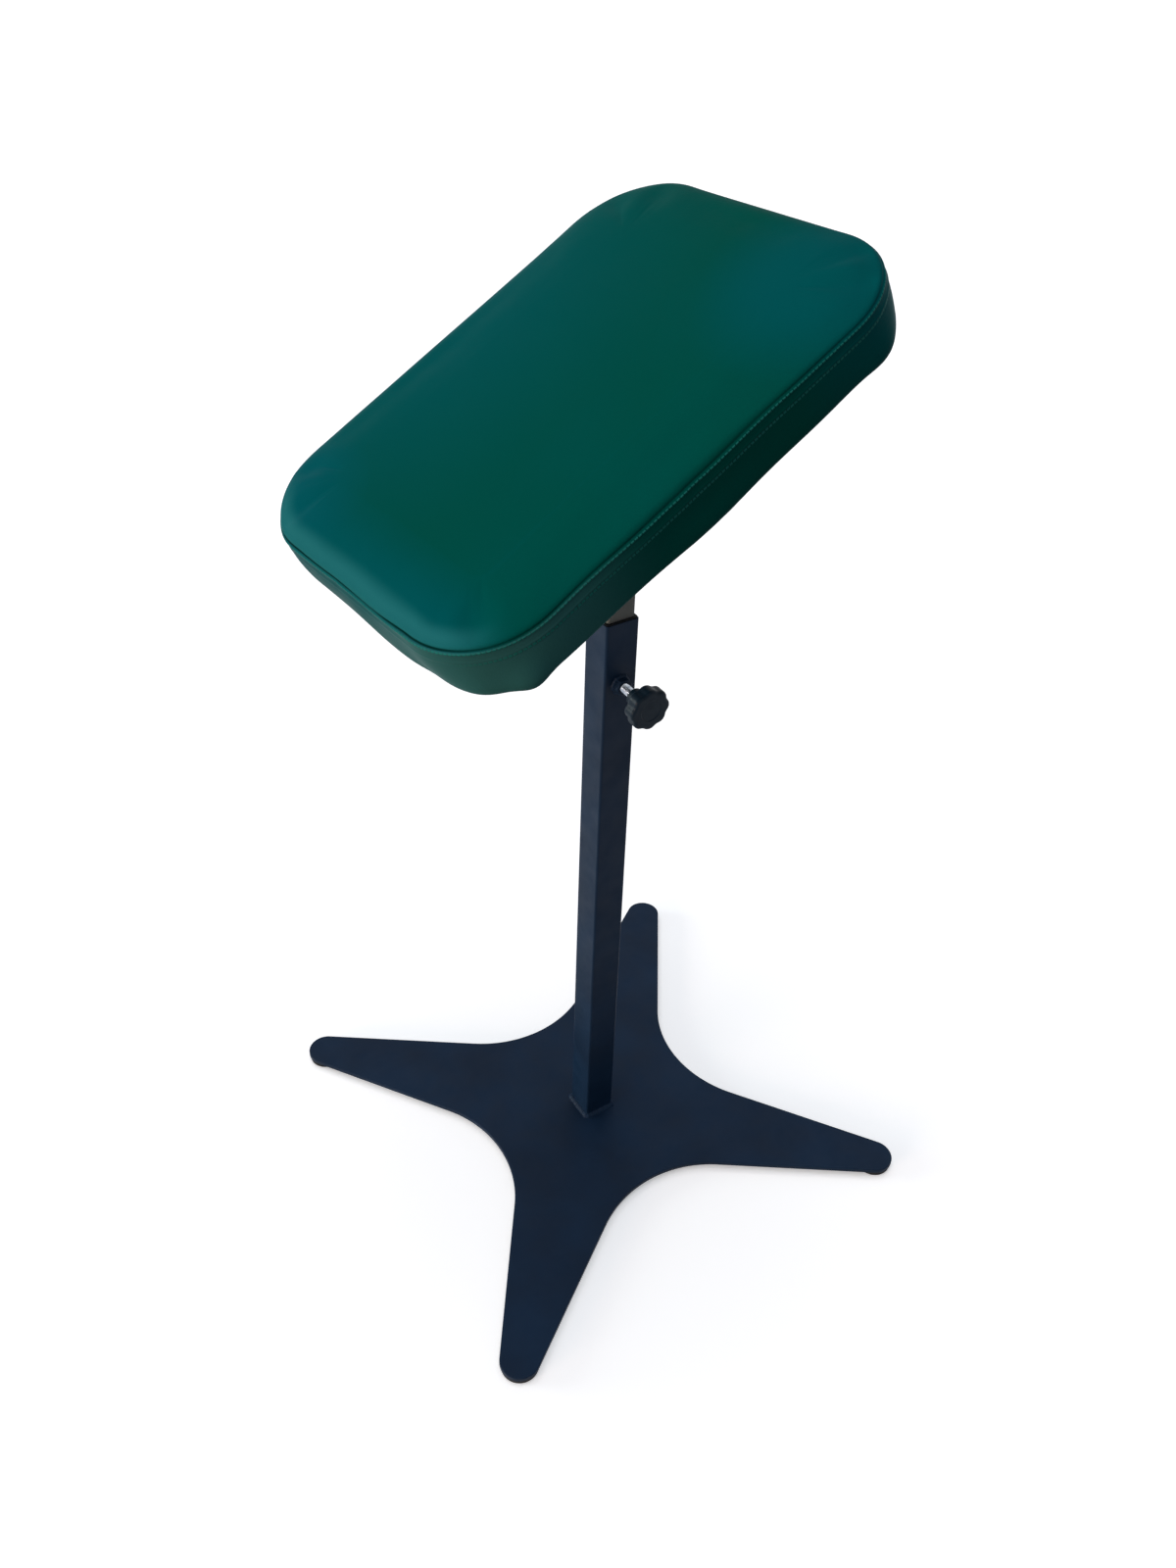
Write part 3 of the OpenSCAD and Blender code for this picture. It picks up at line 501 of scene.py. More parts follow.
def filleted(corners, steps=4, hold=0.12):
    """A profile through corners given as (x, y, radius): each becomes an arc tangent to both
    sides, with a point just before and after it so that the sides shade flat."""
    corners = np.array(corners, float)
    p, r = corners[:, :2], corners[:, 2]
    made = [p[:1]]
    for i in range(1, len(p) - 1):
        if r[i] == 0:
            made.append(p[i : i + 1])
            continue
        u, v = p[i - 1] - p[i], p[i + 1] - p[i]
        u, v = u / np.hypot(*u), v / np.hypot(*v)
        half = np.arccos(np.clip(u @ v, -1, 1)) / 2
        back = r[i] / np.tan(half)
        centre = p[i] + (u + v) / np.hypot(*(u + v)) * r[i] / np.sin(half)
        first, last = p[i] + back * u - centre, p[i] + back * v - centre
        span = np.pi - 2 * half
        t = np.linspace(0, 1, steps + 1)[:, None]
        arc = (np.sin((1 - t) * span) * first + np.sin(t * span) * last) / np.sin(span)
        made += [p[i] + (back + hold) * u, centre + arc, p[i] + (back + hold) * v]
    return np.vstack(made + [p[-1:]])


def turned(profile, columns=72):
    """A profile of radii and heights turned about Z."""
    a = np.linspace(0, FULL_TURN, columns, endpoint=False)
    r, z = profile[:, :1], profile[:, 1:]
    return np.stack([r * np.cos(a), r * np.sin(a), z + 0 * a], -1)


def ripple(distance, spacing, seed):
    """The unevenness of a hand weld: overlapping pools at a spacing, whose size wanders."""
    phase = np.random.default_rng(seed).uniform(0, FULL_TURN, 3)
    wander = sum(np.sin(distance / w + f) for w, f in zip((3.1, 5.3, 8.9), phase)) / 3
    return 0.86 + 0.1 * np.abs(np.sin(np.pi * distance / spacing)) + 0.04 * wander


def weld_bead(path, out, up, leg, spacing, seed, hoop):
    """A weld along a path: its section is a hollow-cornered quarter round, cos and sin to the
    power 1.4, whose legs follow out and up and swell with the ripple. Out is given at each
    point of the path, and up is one direction."""
    step = np.linalg.norm(np.diff(path, axis=0), axis=1)
    size = leg * ripple(np.concatenate([[0], np.cumsum(step)]), spacing, seed)
    if not hoop:
        ends = np.minimum(np.arange(len(path)), np.arange(len(path))[::-1])
        size = size * np.sqrt(np.clip((ends + 0.5) / 5, 0, 1))
    a = np.radians(np.linspace(0, 90, 9))
    x = np.concatenate([[-0.12], np.abs(np.cos(a)) ** 1.4, [-0.12]])
    y = np.concatenate([[-0.12], np.abs(np.sin(a)) ** 1.4, [1]])
    y[1], x[-2] = 0, 0
    size = size[:, None, None]
    rings = path[:, None] + size * (x[:, None] * out[:, None] + y[:, None] * up)
    return shell(rings, hoop)


# The foot


def four_times(points, normals, start=0):
    """A quarter of an outline and the ways out of it, in the plane, four times round."""
    flat = [np.hstack([v, np.zeros((len(v), 1))]) for v in (points, normals)]
    turns = start + 90 * np.arange(4)
    return [np.vstack([turned_by(v, turn, 0, 1) for turn in turns]) for v in flat]


def foot_outline():
    """Once round the foot plate: each arm's round tip, straight sides and half of the hollows
    beside it, with the outward normals."""
    hollow = (WAIST + HOLLOW_R) * np.sqrt([0.5, 0.5])
    tip = np.array([ARM_REACH, 0])
    gap = hollow - tip
    turn = np.arctan2(gap[1], gap[0]) - np.arccos((TIP_R + HOLLOW_R) / np.hypot(*gap))
    a = np.linspace(0, turn, 15)
    tip_normal = np.stack([np.cos(a), np.sin(a)], -1)
    round_tip = tip + TIP_R * tip_normal
    b = np.linspace(turn + np.pi, 1.25 * np.pi, 18)
    hollow_normal = -np.stack([np.cos(b), np.sin(b)], -1)
    round_hollow = hollow - HOLLOW_R * hollow_normal
    t = np.linspace(0, 1, 14)[1:-1, None]
    side = (1 - t) * round_tip[-1] + t * round_hollow[0]
    p = np.vstack([round_tip, side, round_hollow])
    n = np.vstack([tip_normal, np.tile(tip_normal[-1], (len(side), 1)), hollow_normal])
    p, n = (np.vstack([v[:0:-1] * [1, -1], v])[1:] for v in (p, n))
    return four_times(p, n, start=45)


def foot_plate():
    """Laser-cut plate: the outline carried up a section whose edges are rounded."""
    line, normal = foot_outline()
    edge = 0.8
    section = filleted(
        [(2, RUBBER_H, 0), (0, RUBBER_H, edge), (0, PLATE_TOP, edge), (2, PLATE_TOP, 0)]
    )
    inset, z = section[:, :1, None], section[:, 1:, None]
    return shell(line - inset * normal + z * [0, 0, 1])


def rubber_foot(turn):
    """Turned form: a shallow dish below, a rounded rim, a straight side."""
    r, h = RUBBER_R, RUBBER_H
    section = [(0.5, 1, 0), (r - 9, 1, 1), (r - 8, 0, 1), (r - 1.5, 0, 1), (r, 1.5, 1)]
    section += [(r, h, 0.4), (0.5, h, 0)]
    foot = turned(filleted(section)) + [ARM_REACH, 0, 0]
    return shell(turned_by(foot, turn, 0, 1))


def square_path(width, corner_r):
    """Round a square with round corners: points, and the directions out of it."""
    a = np.radians(np.arange(0, 90, 10))
    t = np.arange(0, 1, 0.02)[:, None]
    reach = width / 2 - corner_r
    out = np.stack([np.cos(a), np.sin(a)], -1)
    corner = reach + corner_r * out
    side = np.array([reach, width / 2]) - t * [2 * reach, 0]
    p = np.vstack([corner, side])
    return four_times(p, np.vstack([out, np.tile([0, 1.0], (len(side), 1))]))


put_piece("foot_plate", [foot_plate()], COAT, "black_powder_coat", "stand", "base_plate")
feet = [rubber_foot(turn) for turn in (45, 135, 225, 315)]
put_piece("rubber_pads", feet, RUBBER, "black_rubber", "stand", "rubber_feet")
line, out = square_path(POST_W, POST_CORNER_R)
line = line + [0, 0, PLATE_TOP]
bead = weld_bead(line, out, [0, 0, 1], POST_WELD_LEG, spacing=2.3, seed=11, hoop=True)
put_piece("foot_bead", [bead], COAT, "black_powder_coat", "stand", "foot_weld")

# The clamps


def hex_radius(angle, across_flats):
    """Distance from the middle to a hexagon's side, its first corner at angle 0."""
    return across_flats / 2 / np.cos(np.mod(angle, np.pi / 3) - np.pi / 6)


def hex_nut():
    """Rings up the nut: a hexagon cut by a 30-degree cone, so that each flat ends in an arc,
    then the flat face, the bore's chamfer and the bore."""
    a = np.linspace(0, FULL_TURN, 180, endpoint=False)
    hexagon = hex_radius(a, NUT_AF)
    face_r = 0.47 * NUT_AF
    shoulder = NUT_H - (hexagon - face_r) * np.tan(np.pi / 6)
    bore = SCREW_R + SEAT
    radii = [bore, hexagon, hexagon, hexagon, face_r, bore + 0.5, bore]
    heights = [0, 0, shoulder - 0.05, shoulder, NUT_H, NUT_H, NUT_H - 0.5]
    r, z = (np.array([v + 0 * a for v in rows]) for rows in (radii, heights))
    return np.stack([r * np.cos(a), r * np.sin(a), z], -1)


def nut_bead():
    """The bead's path is midway between the hexagon and the circle round it."""
    a = np.linspace(0, FULL_TURN, 150, endpoint=False)
    corner_r = NUT_AF / 2 / np.cos(np.pi / 6)
    r = 0.7 * hex_radius(a, NUT_AF) + 0.3 * corner_r
    out = np.stack([np.cos(a), np.sin(a), 0 * a], -1)
    path = r[:, None] * out
    bead = weld_bead(path, out, [0, 0, 1], NUT_WELD_LEG, spacing=2.1, seed=5, hoop=True)
    points, quads, tris = bead
    return outwards(points, POST_W / 2) + [0, 0, CLAMP_Z], quads, tris


def threaded_stud(length):
    """Rings along a rolled thread: the radius falls from crest to root with the distance from
    a helix of the thread's pitch, and both ends are chamfered."""
    a = np.linspace(0, FULL_TURN, 40, endpoint=False)
    z = np.linspace(0, length, int(length / PITCH * 10))[:, None]
    wave = np.abs(2 * np.mod(z / PITCH - a / FULL_TURN, 1) - 1)
    r = SCREW_R - 0.02 - 0.7 * np.clip((wave - 0.12) / 0.7, 0, 1)
    r = np.minimum(r, SCREW_R - 0.9 + np.minimum(z, length - z))
    return np.stack([r * np.cos(a), r * np.sin(a), z + 0 * a], -1)


def lobed_radius(angle, inset):
    """Distance from a knob's middle to its lobed outline, moved in by an inset: round lobes
    and the round hollows between them, which meet in a tangent."""
    half = np.pi / LOBES
    lobe_at = KNOB_R - LOBE_R
    reach = LOBE_R + SCALLOP_R
    hollow_at = lobe_at * np.cos(half) + np.sqrt(reach**2 - (lobe_at * np.sin(half)) ** 2)
    away = np.abs(np.mod(angle + half, 2 * half) - half)
    toward = hollow_at * np.array([np.cos(half), np.sin(half)]) - [lobe_at, 0]
    lobe_r = LOBE_R - inset
    touch_x = lobe_at + lobe_r * toward[0] / reach
    touch = np.arctan2(lobe_r * toward[1] / reach, touch_x)
    side = (lobe_at * np.sin(away)) ** 2
    lobe = lobe_at * np.cos(away) + np.sqrt(np.maximum(lobe_r**2 - side, 0))
    across_hollow = (SCALLOP_R + inset) ** 2 - (hollow_at * np.sin(half - away)) ** 2
    hollow = hollow_at * np.cos(half - away) - np.sqrt(np.maximum(across_hollow, 0))
    return np.where(away < touch, lobe, hollow)


def lobed_knob(bore):
    """Rings from the bore's end round the hub, the ring-shaped recess and the grip to the
    middle of the outer face. Towards the rim each ring takes the lobed outline."""
    top = HUB_L + GRIP_T
    floor = HUB_L + RECESS_D
    wall_r = KNOB_R - RECESS_WALL - RIM_R
    profile = bore + [
        (HUB_R, 0, 0.7),
        (HUB_R, floor, 0.8),
        (wall_r, floor, 0.8),
        (wall_r, HUB_L, 0.4),
        (KNOB_R, HUB_L, RIM_R),
        (KNOB_R, top, RIM_R),
        (9.4, top, 0.3),
        (9, top - 0.5, 0.3),
        (0.4, top - 0.5, 0),
    ]
    profile = filleted(profile, hold=0.1)
    a = np.linspace(0, FULL_TURN, 24 * LOBES, endpoint=False)
    r, z = profile[:, :1], profile[:, 1:]
    share = np.clip((r - wall_r) / (KNOB_R - RIM_R - wall_r), 0, 1)
    lobed = lobed_radius(a, np.clip(KNOB_R - r, 0, 3))
    inner = np.minimum(KNOB_R - r, 3) - (KNOB_R - r)
    r = (1 - share) * r + share * (lobed + inner)
    return np.stack([r * np.cos(a), r * np.sin(a), z + 0 * a], -1)


# Each bore from its middle outwards, as corners for lobed_knob()
deep = HUB_L + THREAD_IN_GRIP + 2 * SEAT
hole = SCREW_R + SEAT
height_bore = [(0.4, deep, 0), (hole, deep, 0), (hole, 0.5, 0), (hole + 0.5, 0, 0)]
hole, wide, step = SCREW_R + 2 * SEAT, INSERT_R + SEAT, INSERT_L + 2 * SEAT
tilt_bore = [(0.4, deep, 0), (hole, deep, 0), (hole, step, 0), (wide, step, 0), (wide, 0, 0)]

clamp = [0, 0, CLAMP_Z]
nut = shell(outwards(hex_nut(), POST_W / 2) + clamp, hoop=True)
put_piece("welded_nut", [nut], COAT, "black_powder_coat", "stand", "clamp_nut", sharp=20)
put_piece("nut_bead", [nut_bead()], COAT, "black_powder_coat", "stand", "nut_weld")
stud = outwards(threaded_stud(KNOB_FACE + HUB_L + THREAD_IN_GRIP - STUD_TIP), STUD_TIP)
put_piece("clamp_stud", [shell(stud + clamp)], BRIGHT, "bright_zinc", "height_screw", "height_stud")
knob = shell(outwards(lobed_knob(height_bore), KNOB_FACE) + clamp)
put_piece("clamp_knob", [knob], KNOB, "black_knob_plastic", "height_grip", "height_knob")
knob = shell(on_pivot(outwards(lobed_knob(tilt_bore), TILT_KNOB_FACE)))
put_piece("pivot_knob", [knob], KNOB, "black_knob_plastic", "tilt_grip", "tilt_knob")

fork_beads = []
y = np.linspace(-FORK_BEAD_HALF, FORK_BEAD_HALF, 60)
for side in (1, -1):
    path = np.stack([0 * y + side * EAR_W / 2, y, 0 * y + BRACKET_Z], -1)
    out = np.zeros_like(path) + [side, 0, 0]
    bead = weld_bead(path, out, [0, 0, -1], FORK_WELD_LEG, spacing=2.2, seed=7, hoop=False)
    fork_beads.append((on_pivot(bead[0]), *bead[1:]))
put_piece("fork_beads", fork_beads, COAT, "black_powder_coat", "pad", "fork_weld")

# The pad

# Columns round the pad: along a quarter corner, a long side and a short side
CORNER_COLS, LONG_COLS, SHORT_COLS = 20, 52, 32
LOOP = 4 * CORNER_COLS + 2 * (LONG_COLS + SHORT_COLS)
FIELD_COLS, FIELD_ROWS = LONG_COLS + CORNER_COLS, SHORT_COLS + CORNER_COLS
FIELD_INSET = 55
CROWN_RISE, BAND_H = 2, SEAM_Z - HEM_Z
# Pleats that a hem all round would have, and the most that the foam pushes the cover out
PLEATS, MOST_PUSH = 62, 2.2
# The height inside the plywood board at which the cover's hidden floor closes it
FLOOR_Z = HEM_Z + 1.5

# Rows over the cover, as distances from the seam: hem, lower edge, band, roll and top
COVER_ROWS = [-60.3, -56, -51, -46, -42.5, -40.3, -39, -37.6, -36.2, -34.8, -33, -30, -26.5]
COVER_ROWS += [-23, -19.5, -16, -13, -10.9, -9.7, -9, -8.5, -8, -7.3, -6.2, -4.8, -3.6, -2.7]
COVER_ROWS += [-2, -1.4, -0.9, -0.5, -0.2, 0, 0.2, 0.5, 0.9, 1.4, 2, 2.8, 3.8, 5.2, 7, 9.2]
COVER_ROWS = np.array(COVER_ROWS + [12, 15, 18.5, 22.4, 27, 33, 40, 48, 57.4])
CLOTH_ROWS = [-60.3, -51, -42.5, -38, -34.8, -30, -24, -18, -12, -7, -3, 0, 3, 7, 12, 17, 22.4]
CLOTH_ROWS = np.array(CLOTH_ROWS + [30, 40, 57.4])


def pad_loop():
    """Once round the pad from the middle of its +X +Y corner: the outline's points, the way
    out of it, and the share of the seam's draw, a half sine along each side."""
    half = np.array([PAD_L, PAD_W]) / 2 - PAD_CORNER_R
    signs = np.array([[1, 1], [-1, 1], [-1, -1], [1, -1]])
    centre, angle, draw = [], [], []
    for q, count in enumerate((LONG_COLS, SHORT_COLS, LONG_COLS, SHORT_COLS)):
        t = np.arange(count) / count
        here, there = half * signs[q], half * signs[(q + 1) % 4]
        centre += [np.tile(here, (CORNER_COLS, 1)), here + t[:, None] * (there - here)]
        angle += [90 * (q + np.arange(CORNER_COLS) / CORNER_COLS), 90 * (q + 1) + 0 * t]
        draw += [np.zeros(CORNER_COLS), np.sin(np.pi * t)]
    loop = [np.roll(np.concatenate(v), -CORNER_COLS // 2, axis=0) for v in (centre, angle, draw)]
    centre, angle, draw = loop
    out = np.stack([np.cos(np.radians(angle)), np.sin(np.radians(angle))], -1)
    return centre + PAD_CORNER_R * out, out, draw


def cover_section():
    """The cover's outside in section, hem to top, as insets and heights over the distance
    along it: flat hem, quarter round, swelling band, quarter ellipse, flat top. The distance
    at the seam comes last."""
    a = np.radians(np.linspace(0, 90, 60))
    z = np.linspace(HEM_Z + UNDER_R, SEAM_Z, 80)[1:]
    swell = BAND_SWELL * np.sin(np.pi * (z - HEM_Z - UNDER_R) / (BAND_H - UNDER_R))
    roll = ROLL_W * (1 - np.cos(a[1:])), SEAM_Z + ROLL_H * np.sin(a[1:])
    inset = np.concatenate([[HEM_W], UNDER_R * (1 - np.sin(a)), -swell, roll[0], [FIELD_INSET]])
    under = HEM_Z + UNDER_R * (1 - np.cos(a))
    height = np.concatenate([[HEM_Z], under, z, roll[1], [SEAM_Z + ROLL_H]])
    step = np.hypot(np.diff(inset), np.diff(height))
    distance = np.concatenate([[0], np.cumsum(step)])
    return distance, inset, height, distance[len(a) + len(z)]


def bump_at(x, middle, width):
    """A bell curve."""
    return np.exp(-(((x - middle) / width) ** 2))


def spots(points, places):
    """The sum of bells over a plane, each given as x, y, width and height."""
    return sum(h * np.exp(-((points - [x, y]) ** 2).sum(-1) / w**2) for x, y, w, h in places)


def crown(points):
    """The slow rise to the pad's middle, the product of two parabolas, with a slight
    unevenness of the foam."""
    u = (points / (np.array([PAD_L, PAD_W]) / 2)) ** 2
    x, y = points[..., 0], points[..., 1]
    uneven = 0.22 * np.sin(x / 31 + 1) * np.sin(y / 37) + 0.15 * np.sin(x / 17 - y / 23)
    return np.clip(1 - u[..., 0], 0, 1) * np.clip(1 - u[..., 1], 0, 1) * (CROWN_RISE + uneven)


def seam_detail(x, end):
    """How far the cover stands out over its smooth section: a groove where the seam pulls it
    in, lips beside it, the seam allowance below it, and the allowance's edge. At the low end
    the groove and its upper lip are strongest, and the allowance shows least."""
    allowance = 0.3 / (1 + np.exp(-(x + 8.5) * 2.5)) / (1 + np.exp((x + 1) * 2.5))
    allowance = (allowance + 0.45 * bump_at(x, -8.4, 0.7)) * (1 - 0.7 * end)
    lips = 0.7 * bump_at(x, -1.8, 0.8) + (0.2 + 0.4 * end) * bump_at(x, 2.7, 1.9)
    return allowance + lips - 1.4 * (0.2 + 0.8 * end) * bump_at(x, 0, 0.65)


# Where the seam runs higher, each place as x, y, width and amount
SEAM_RISES = [(-198, -78, 30, 2.5), (-190, -110, 32, 3), (-190, 90, 40, 2), (-198, 10, 50, 1.3)]
# Where the cover stands out or in: the middle and width of a belt round the pad, as distances
# from the seam, and the places on it
BULGES = [
    # The band just under the seam
    (-2, 14, [(0, -150, 60, 2), (-60, -150, 40, 0.7), (-188, 112, 28, -1.8)]),
    # Its lower edge
    (-35, 13, [(-160, -139, 12, 6), (-182, -122, 18, 2.5), (-100, -150, 50, 0.5)]),
    (-35, 13, [(-10, -150, 45, 3.5), (80, -150, 50, 2), (150, -144, 18, 3)]),
    (-35, 13, [(-198, -30, 45, 2), (-197, -82, 18, -2)]),
    # The roll
    (9, 9, [(180, -120, 60, -1.2), (60, -150, 25, -0.4), (-30, 150, 100, 1.6), (200, 0, 60, 1.8)]),
    # Short folds under the seam, and lower on the band
    (-5, 6, [(-13, -150, 5, -0.7), (-25, -150, 6, 0.5), (95, -150, 7, -0.4), (-198, 20, 6, -0.4)]),
    (-25, 12, [(-4, -150, 3, -0.6), (3, -150, 3, 0.6), (10, -150, 3, -0.5), (-28, -150, 4, 0.4)]),
]
# The low end, where the seam is pulled in most
LOW_PULL = (-198, 0, 130, 1)


def cover_rings(rows, detail):
    """Rings of the cover in the pad's frame: the section, followed along each column with the
    seam's rises and waves, and pushed out along its normal by the detail and the bulges."""
    line, out, draw = pad_loop()
    distance, inset, height, seam = cover_section()
    x = rows[:, None]
    column = np.arange(LOOP) * FULL_TURN / LOOP
    wave = 0.3 * np.sin(9 * column + 1.3) + 0.2 * np.sin(17 * column + 4) + spots(line, SEAM_RISES)
    at = seam + x + detail * wave * bump_at(x, 0, 14)
    s, z = np.interp(at, distance, inset), np.interp(at, distance, height)
    slope_s = np.interp(at, distance, np.gradient(inset, distance))
    slope_z = np.interp(at, distance, np.gradient(height, distance))
    push = seam_detail(x, spots(line, [LOW_PULL]))
    for middle, width, places in BULGES:
        push = push + spots(line, places) * bump_at(x, middle, width)
    # Pleats in the hem, where it turns the corners under the board
    pleat = (1 - draw.clip(0, 1)) ** 8 * (0.5 - 0.5 * np.cos(PLEATS * column)) ** 2
    push = push - 0.8 * pleat * bump_at(x, -52, 9)
    # The board stops whatever pulls the hem in
    push = np.maximum(push, -0.9 - np.clip(x + 39.5, 0, 3))
    size = np.hypot(slope_s, slope_z)
    s, z = s - detail * push * slope_z / size, z + detail * push * slope_s / size
    s = s + SIDE_DRAW * draw * np.clip((z - HEM_Z) / BAND_H, 0, 1)
    flat = line - s[..., None] * out
    z = z + np.where(x >= 0, crown(flat), 0)
    return np.concatenate([flat, z[..., None]], -1)


def field(loop):
    """A grid inside a closed loop, by Coons's rule: the sum of the two ruled surfaces between
    opposite edges, less the one between the corners. Also each grid point's place in the
    loop, or -1 inside."""
    i, j = np.arange(FIELD_COLS + 1), np.arange(FIELD_ROWS + 1)
    half = FIELD_COLS + FIELD_ROWS
    index = np.full((FIELD_COLS + 1, FIELD_ROWS + 1), -1)
    index[:, 0], index[:, -1] = i, half + FIELD_COLS - i
    index[0], index[-1] = (LOOP - j) % LOOP, FIELD_COLS + j
    u, v = (i / FIELD_COLS)[:, None, None], (j / FIELD_ROWS)[None, :, None]
    edge = loop[index]
    ruled = (1 - v) * edge[:, :1] + v * edge[:, -1:] + (1 - u) * edge[:1] + u * edge[-1:]
    corners = (1 - u) * (1 - v) * edge[0, 0] + u * (1 - v) * edge[-1, 0]
    corners = corners + (1 - u) * v * edge[0, -1] + u * v * edge[-1, -1]
    return ruled - corners, index


def with_field(rings, height):
    """Points and faces of rings whose last one is filled by a field at a height given over
    the plane."""
    grid, index = field(rings[-1])
    inner = index < 0
    inner[1:-1, 1:-1] = True
    count = rings.shape[0] * rings.shape[1]
    index = np.where(inner, 0, index + count - LOOP)
    index[inner] = count + np.arange(inner.sum())
    grid[..., 2] = height(grid[..., :2])
    quads = np.stack([index[:-1, :-1], index[1:, :-1], index[1:, 1:], index[:-1, 1:]], -1)
    points = np.vstack([rings.reshape(-1, 3), grid[inner]])
    return points, np.vstack([ring_quads(*rings.shape[:2]), quads.reshape(-1, 4)])


def cover(rows, detail):
    """The whole cover, closed by a hidden floor inside the board: points, quads, triangles."""
    rings = cover_rings(rows, detail)
    line, out, _ = pad_loop()
    low = np.concatenate([line - (HEM_W + 0.4) * out, np.full((LOOP, 1), FLOOR_Z)], -1)
    rings = np.concatenate([low[None], rings])
    points, quads = with_field(rings, lambda p: SEAM_Z + ROLL_H + crown(p))
    k = np.arange(LOOP)
    tris = np.stack([(k + 1) % LOOP, k, np.full(LOOP, len(points))], -1)
    return np.vstack([points, [[0, 0, FLOOR_Z]]]), quads, tris


def swollen(rows):
    """How the foam's push moves the smooth cover: a cloth under pressure, held at its seam and
    under the board. Each row's and each field point's shift, in the pad's frame, which bends
    over towards MOST_PUSH as it grows."""
    points, quads, tris = cover(rows, 0)
    piece = new_object("foam_push", points, quads.tolist() + tris.tolist())
    held = np.repeat(np.concatenate([[True], (rows < -40) | (rows == 0)]), LOOP)
    group = piece.vertex_groups.new(name="held")
    group.add(np.append(np.flatnonzero(held), len(points) - 1).tolist(), 1, "REPLACE")
    cloth = piece.modifiers.new("foam_push", "CLOTH")
    setup = cloth.settings
    setup.vertex_group_mass = "held"
    setup.use_pressure = True
    setup.uniform_pressure_force = 4
    setup.shrink_min = 0
    setup.tension_stiffness = setup.compression_stiffness = 40
    setup.bending_stiffness = 40
    setup.quality = 6
    setup.effector_weights.gravity = 0
    cloth.collision_settings.use_collision = False
    scene = bpy.context.scene
    cloth.point_cache.frame_start, cloth.point_cache.frame_end = 1, 20
    for step in range(1, 21):
        scene.frame_set(step)
    moved = piece.evaluated_get(bpy.context.evaluated_depsgraph_get()).data
    after = np.zeros(len(points) * 3)
    moved.vertices.foreach_get("co", after)
    scene.frame_set(1)
    bpy.data.objects.remove(piece)
    shift = after.reshape(-1, 3) / MM - points
    size = np.linalg.norm(shift, axis=1, keepdims=True)
    return shift * MOST_PUSH * np.tanh(size / MOST_PUSH) / np.maximum(size, 1e-6)


def padded_cover():
    """The cover's fine rows, moved by the simulated swelling of the coarse ones."""
    points, quads, tris = cover(COVER_ROWS, 1)
    shift = swollen(CLOTH_ROWS)
    coarse = len(CLOTH_ROWS) * LOOP
    by_row = shift[LOOP : LOOP + coarse].reshape(len(CLOTH_ROWS), -1)
    weight = [np.interp(COVER_ROWS, CLOTH_ROWS, row) for row in np.eye(len(CLOTH_ROWS))]
    fine = len(COVER_ROWS) * LOOP
    points[LOOP : LOOP + fine] += (np.array(weight).T @ by_row).reshape(-1, 3)
    points[LOOP + fine :] += shift[LOOP + coarse :]
    return points, quads, tris


def map_seam(mesh):
    """The cover's map: at each corner of a face the distance along the seam, from its column,
    and the distance from the seam, from its row. A face that closes the loop ends it there."""
    line, _, _ = pad_loop()
    step = np.linalg.norm(np.roll(line, -1, axis=0) - line, axis=1)
    along = np.concatenate([[0], np.cumsum(step)])
    rows = np.concatenate([[COVER_ROWS[0]], COVER_ROWS])
    corner = np.zeros(len(mesh.loops), int)
    mesh.loops.foreach_get("vertex_index", corner)
    on_ring = corner < len(rows) * LOOP
    column = corner % LOOP
    starts, counts = np.zeros((2, len(mesh.polygons)), int)
    mesh.polygons.foreach_get("loop_start", starts)
    last = np.maximum.reduceat(np.where(on_ring, column, 0), starts)
    mesh.polygons.foreach_get("loop_total", counts)
    column = np.where((column == 0) & (np.repeat(last, counts) == LOOP - 1), LOOP, column)
    above = np.where(on_ring, rows[np.minimum(corner // LOOP, len(rows) - 1)], FIELD_INSET + 5)
    values = np.stack([np.where(on_ring, along[column], 0), above], -1)
    mesh.uv_layers.new(name=SEAM_MAP).data.foreach_set("uv", values.ravel())


def smooth_over(piece):
    """One level of subdivision, the same in view and render."""
    subdivision = piece.modifiers.new("smooth", "SUBSURF")
    subdivision.levels = subdivision.render_levels = 1


points, quads, tris = padded_cover()
soft = [(on_pad(points), quads, tris)]
nodes = ("top_panel", "side_band", "foam_core")
pad_cover = put_piece("pad_cover", soft, LEATHERETTE, "green_leatherette", "pad", *nodes, sharp=180)
map_seam(pad_cover.data)
smooth_over(pad_cover)


# Half the sides of the place under the bracket's plate where the dust cloth lies flat, and
# how far the cloth rises from under the hem to under the board
FLAT_HALF, CLOTH_RISE = [56, 33], 1.7 - CLOTH_T


def cloth_height(inset, points):
    """The dust cloth's underside: under the hem, up its edge, then flat under the board, with
    a slight slackness away from the bracket's plate."""
    rise = np.clip((inset - HEM_W - 0.2) / 2.6, 0, 1)
    rise = rise**2 * (3 - 2 * rise)
    at_bracket = np.abs(turned_by(points, PAD_SKEW, 0, 1) + [PAD_SHIFT, 0]) - FLAT_HALF
    clear = np.clip(at_bracket.max(-1) / 25, 0, 1) * np.clip((inset - 28) / 12, 0, 1)
    x, y = points[..., 0], points[..., 1]
    slack = 0.5 + 0.3 * np.sin(x / 19 + np.sin(y / 23)) + 0.2 * np.sin(y / 11 + x / 41)
    return HEM_Z - CLOTH_T + CLOTH_RISE * rise - 0.9 * slack * clear


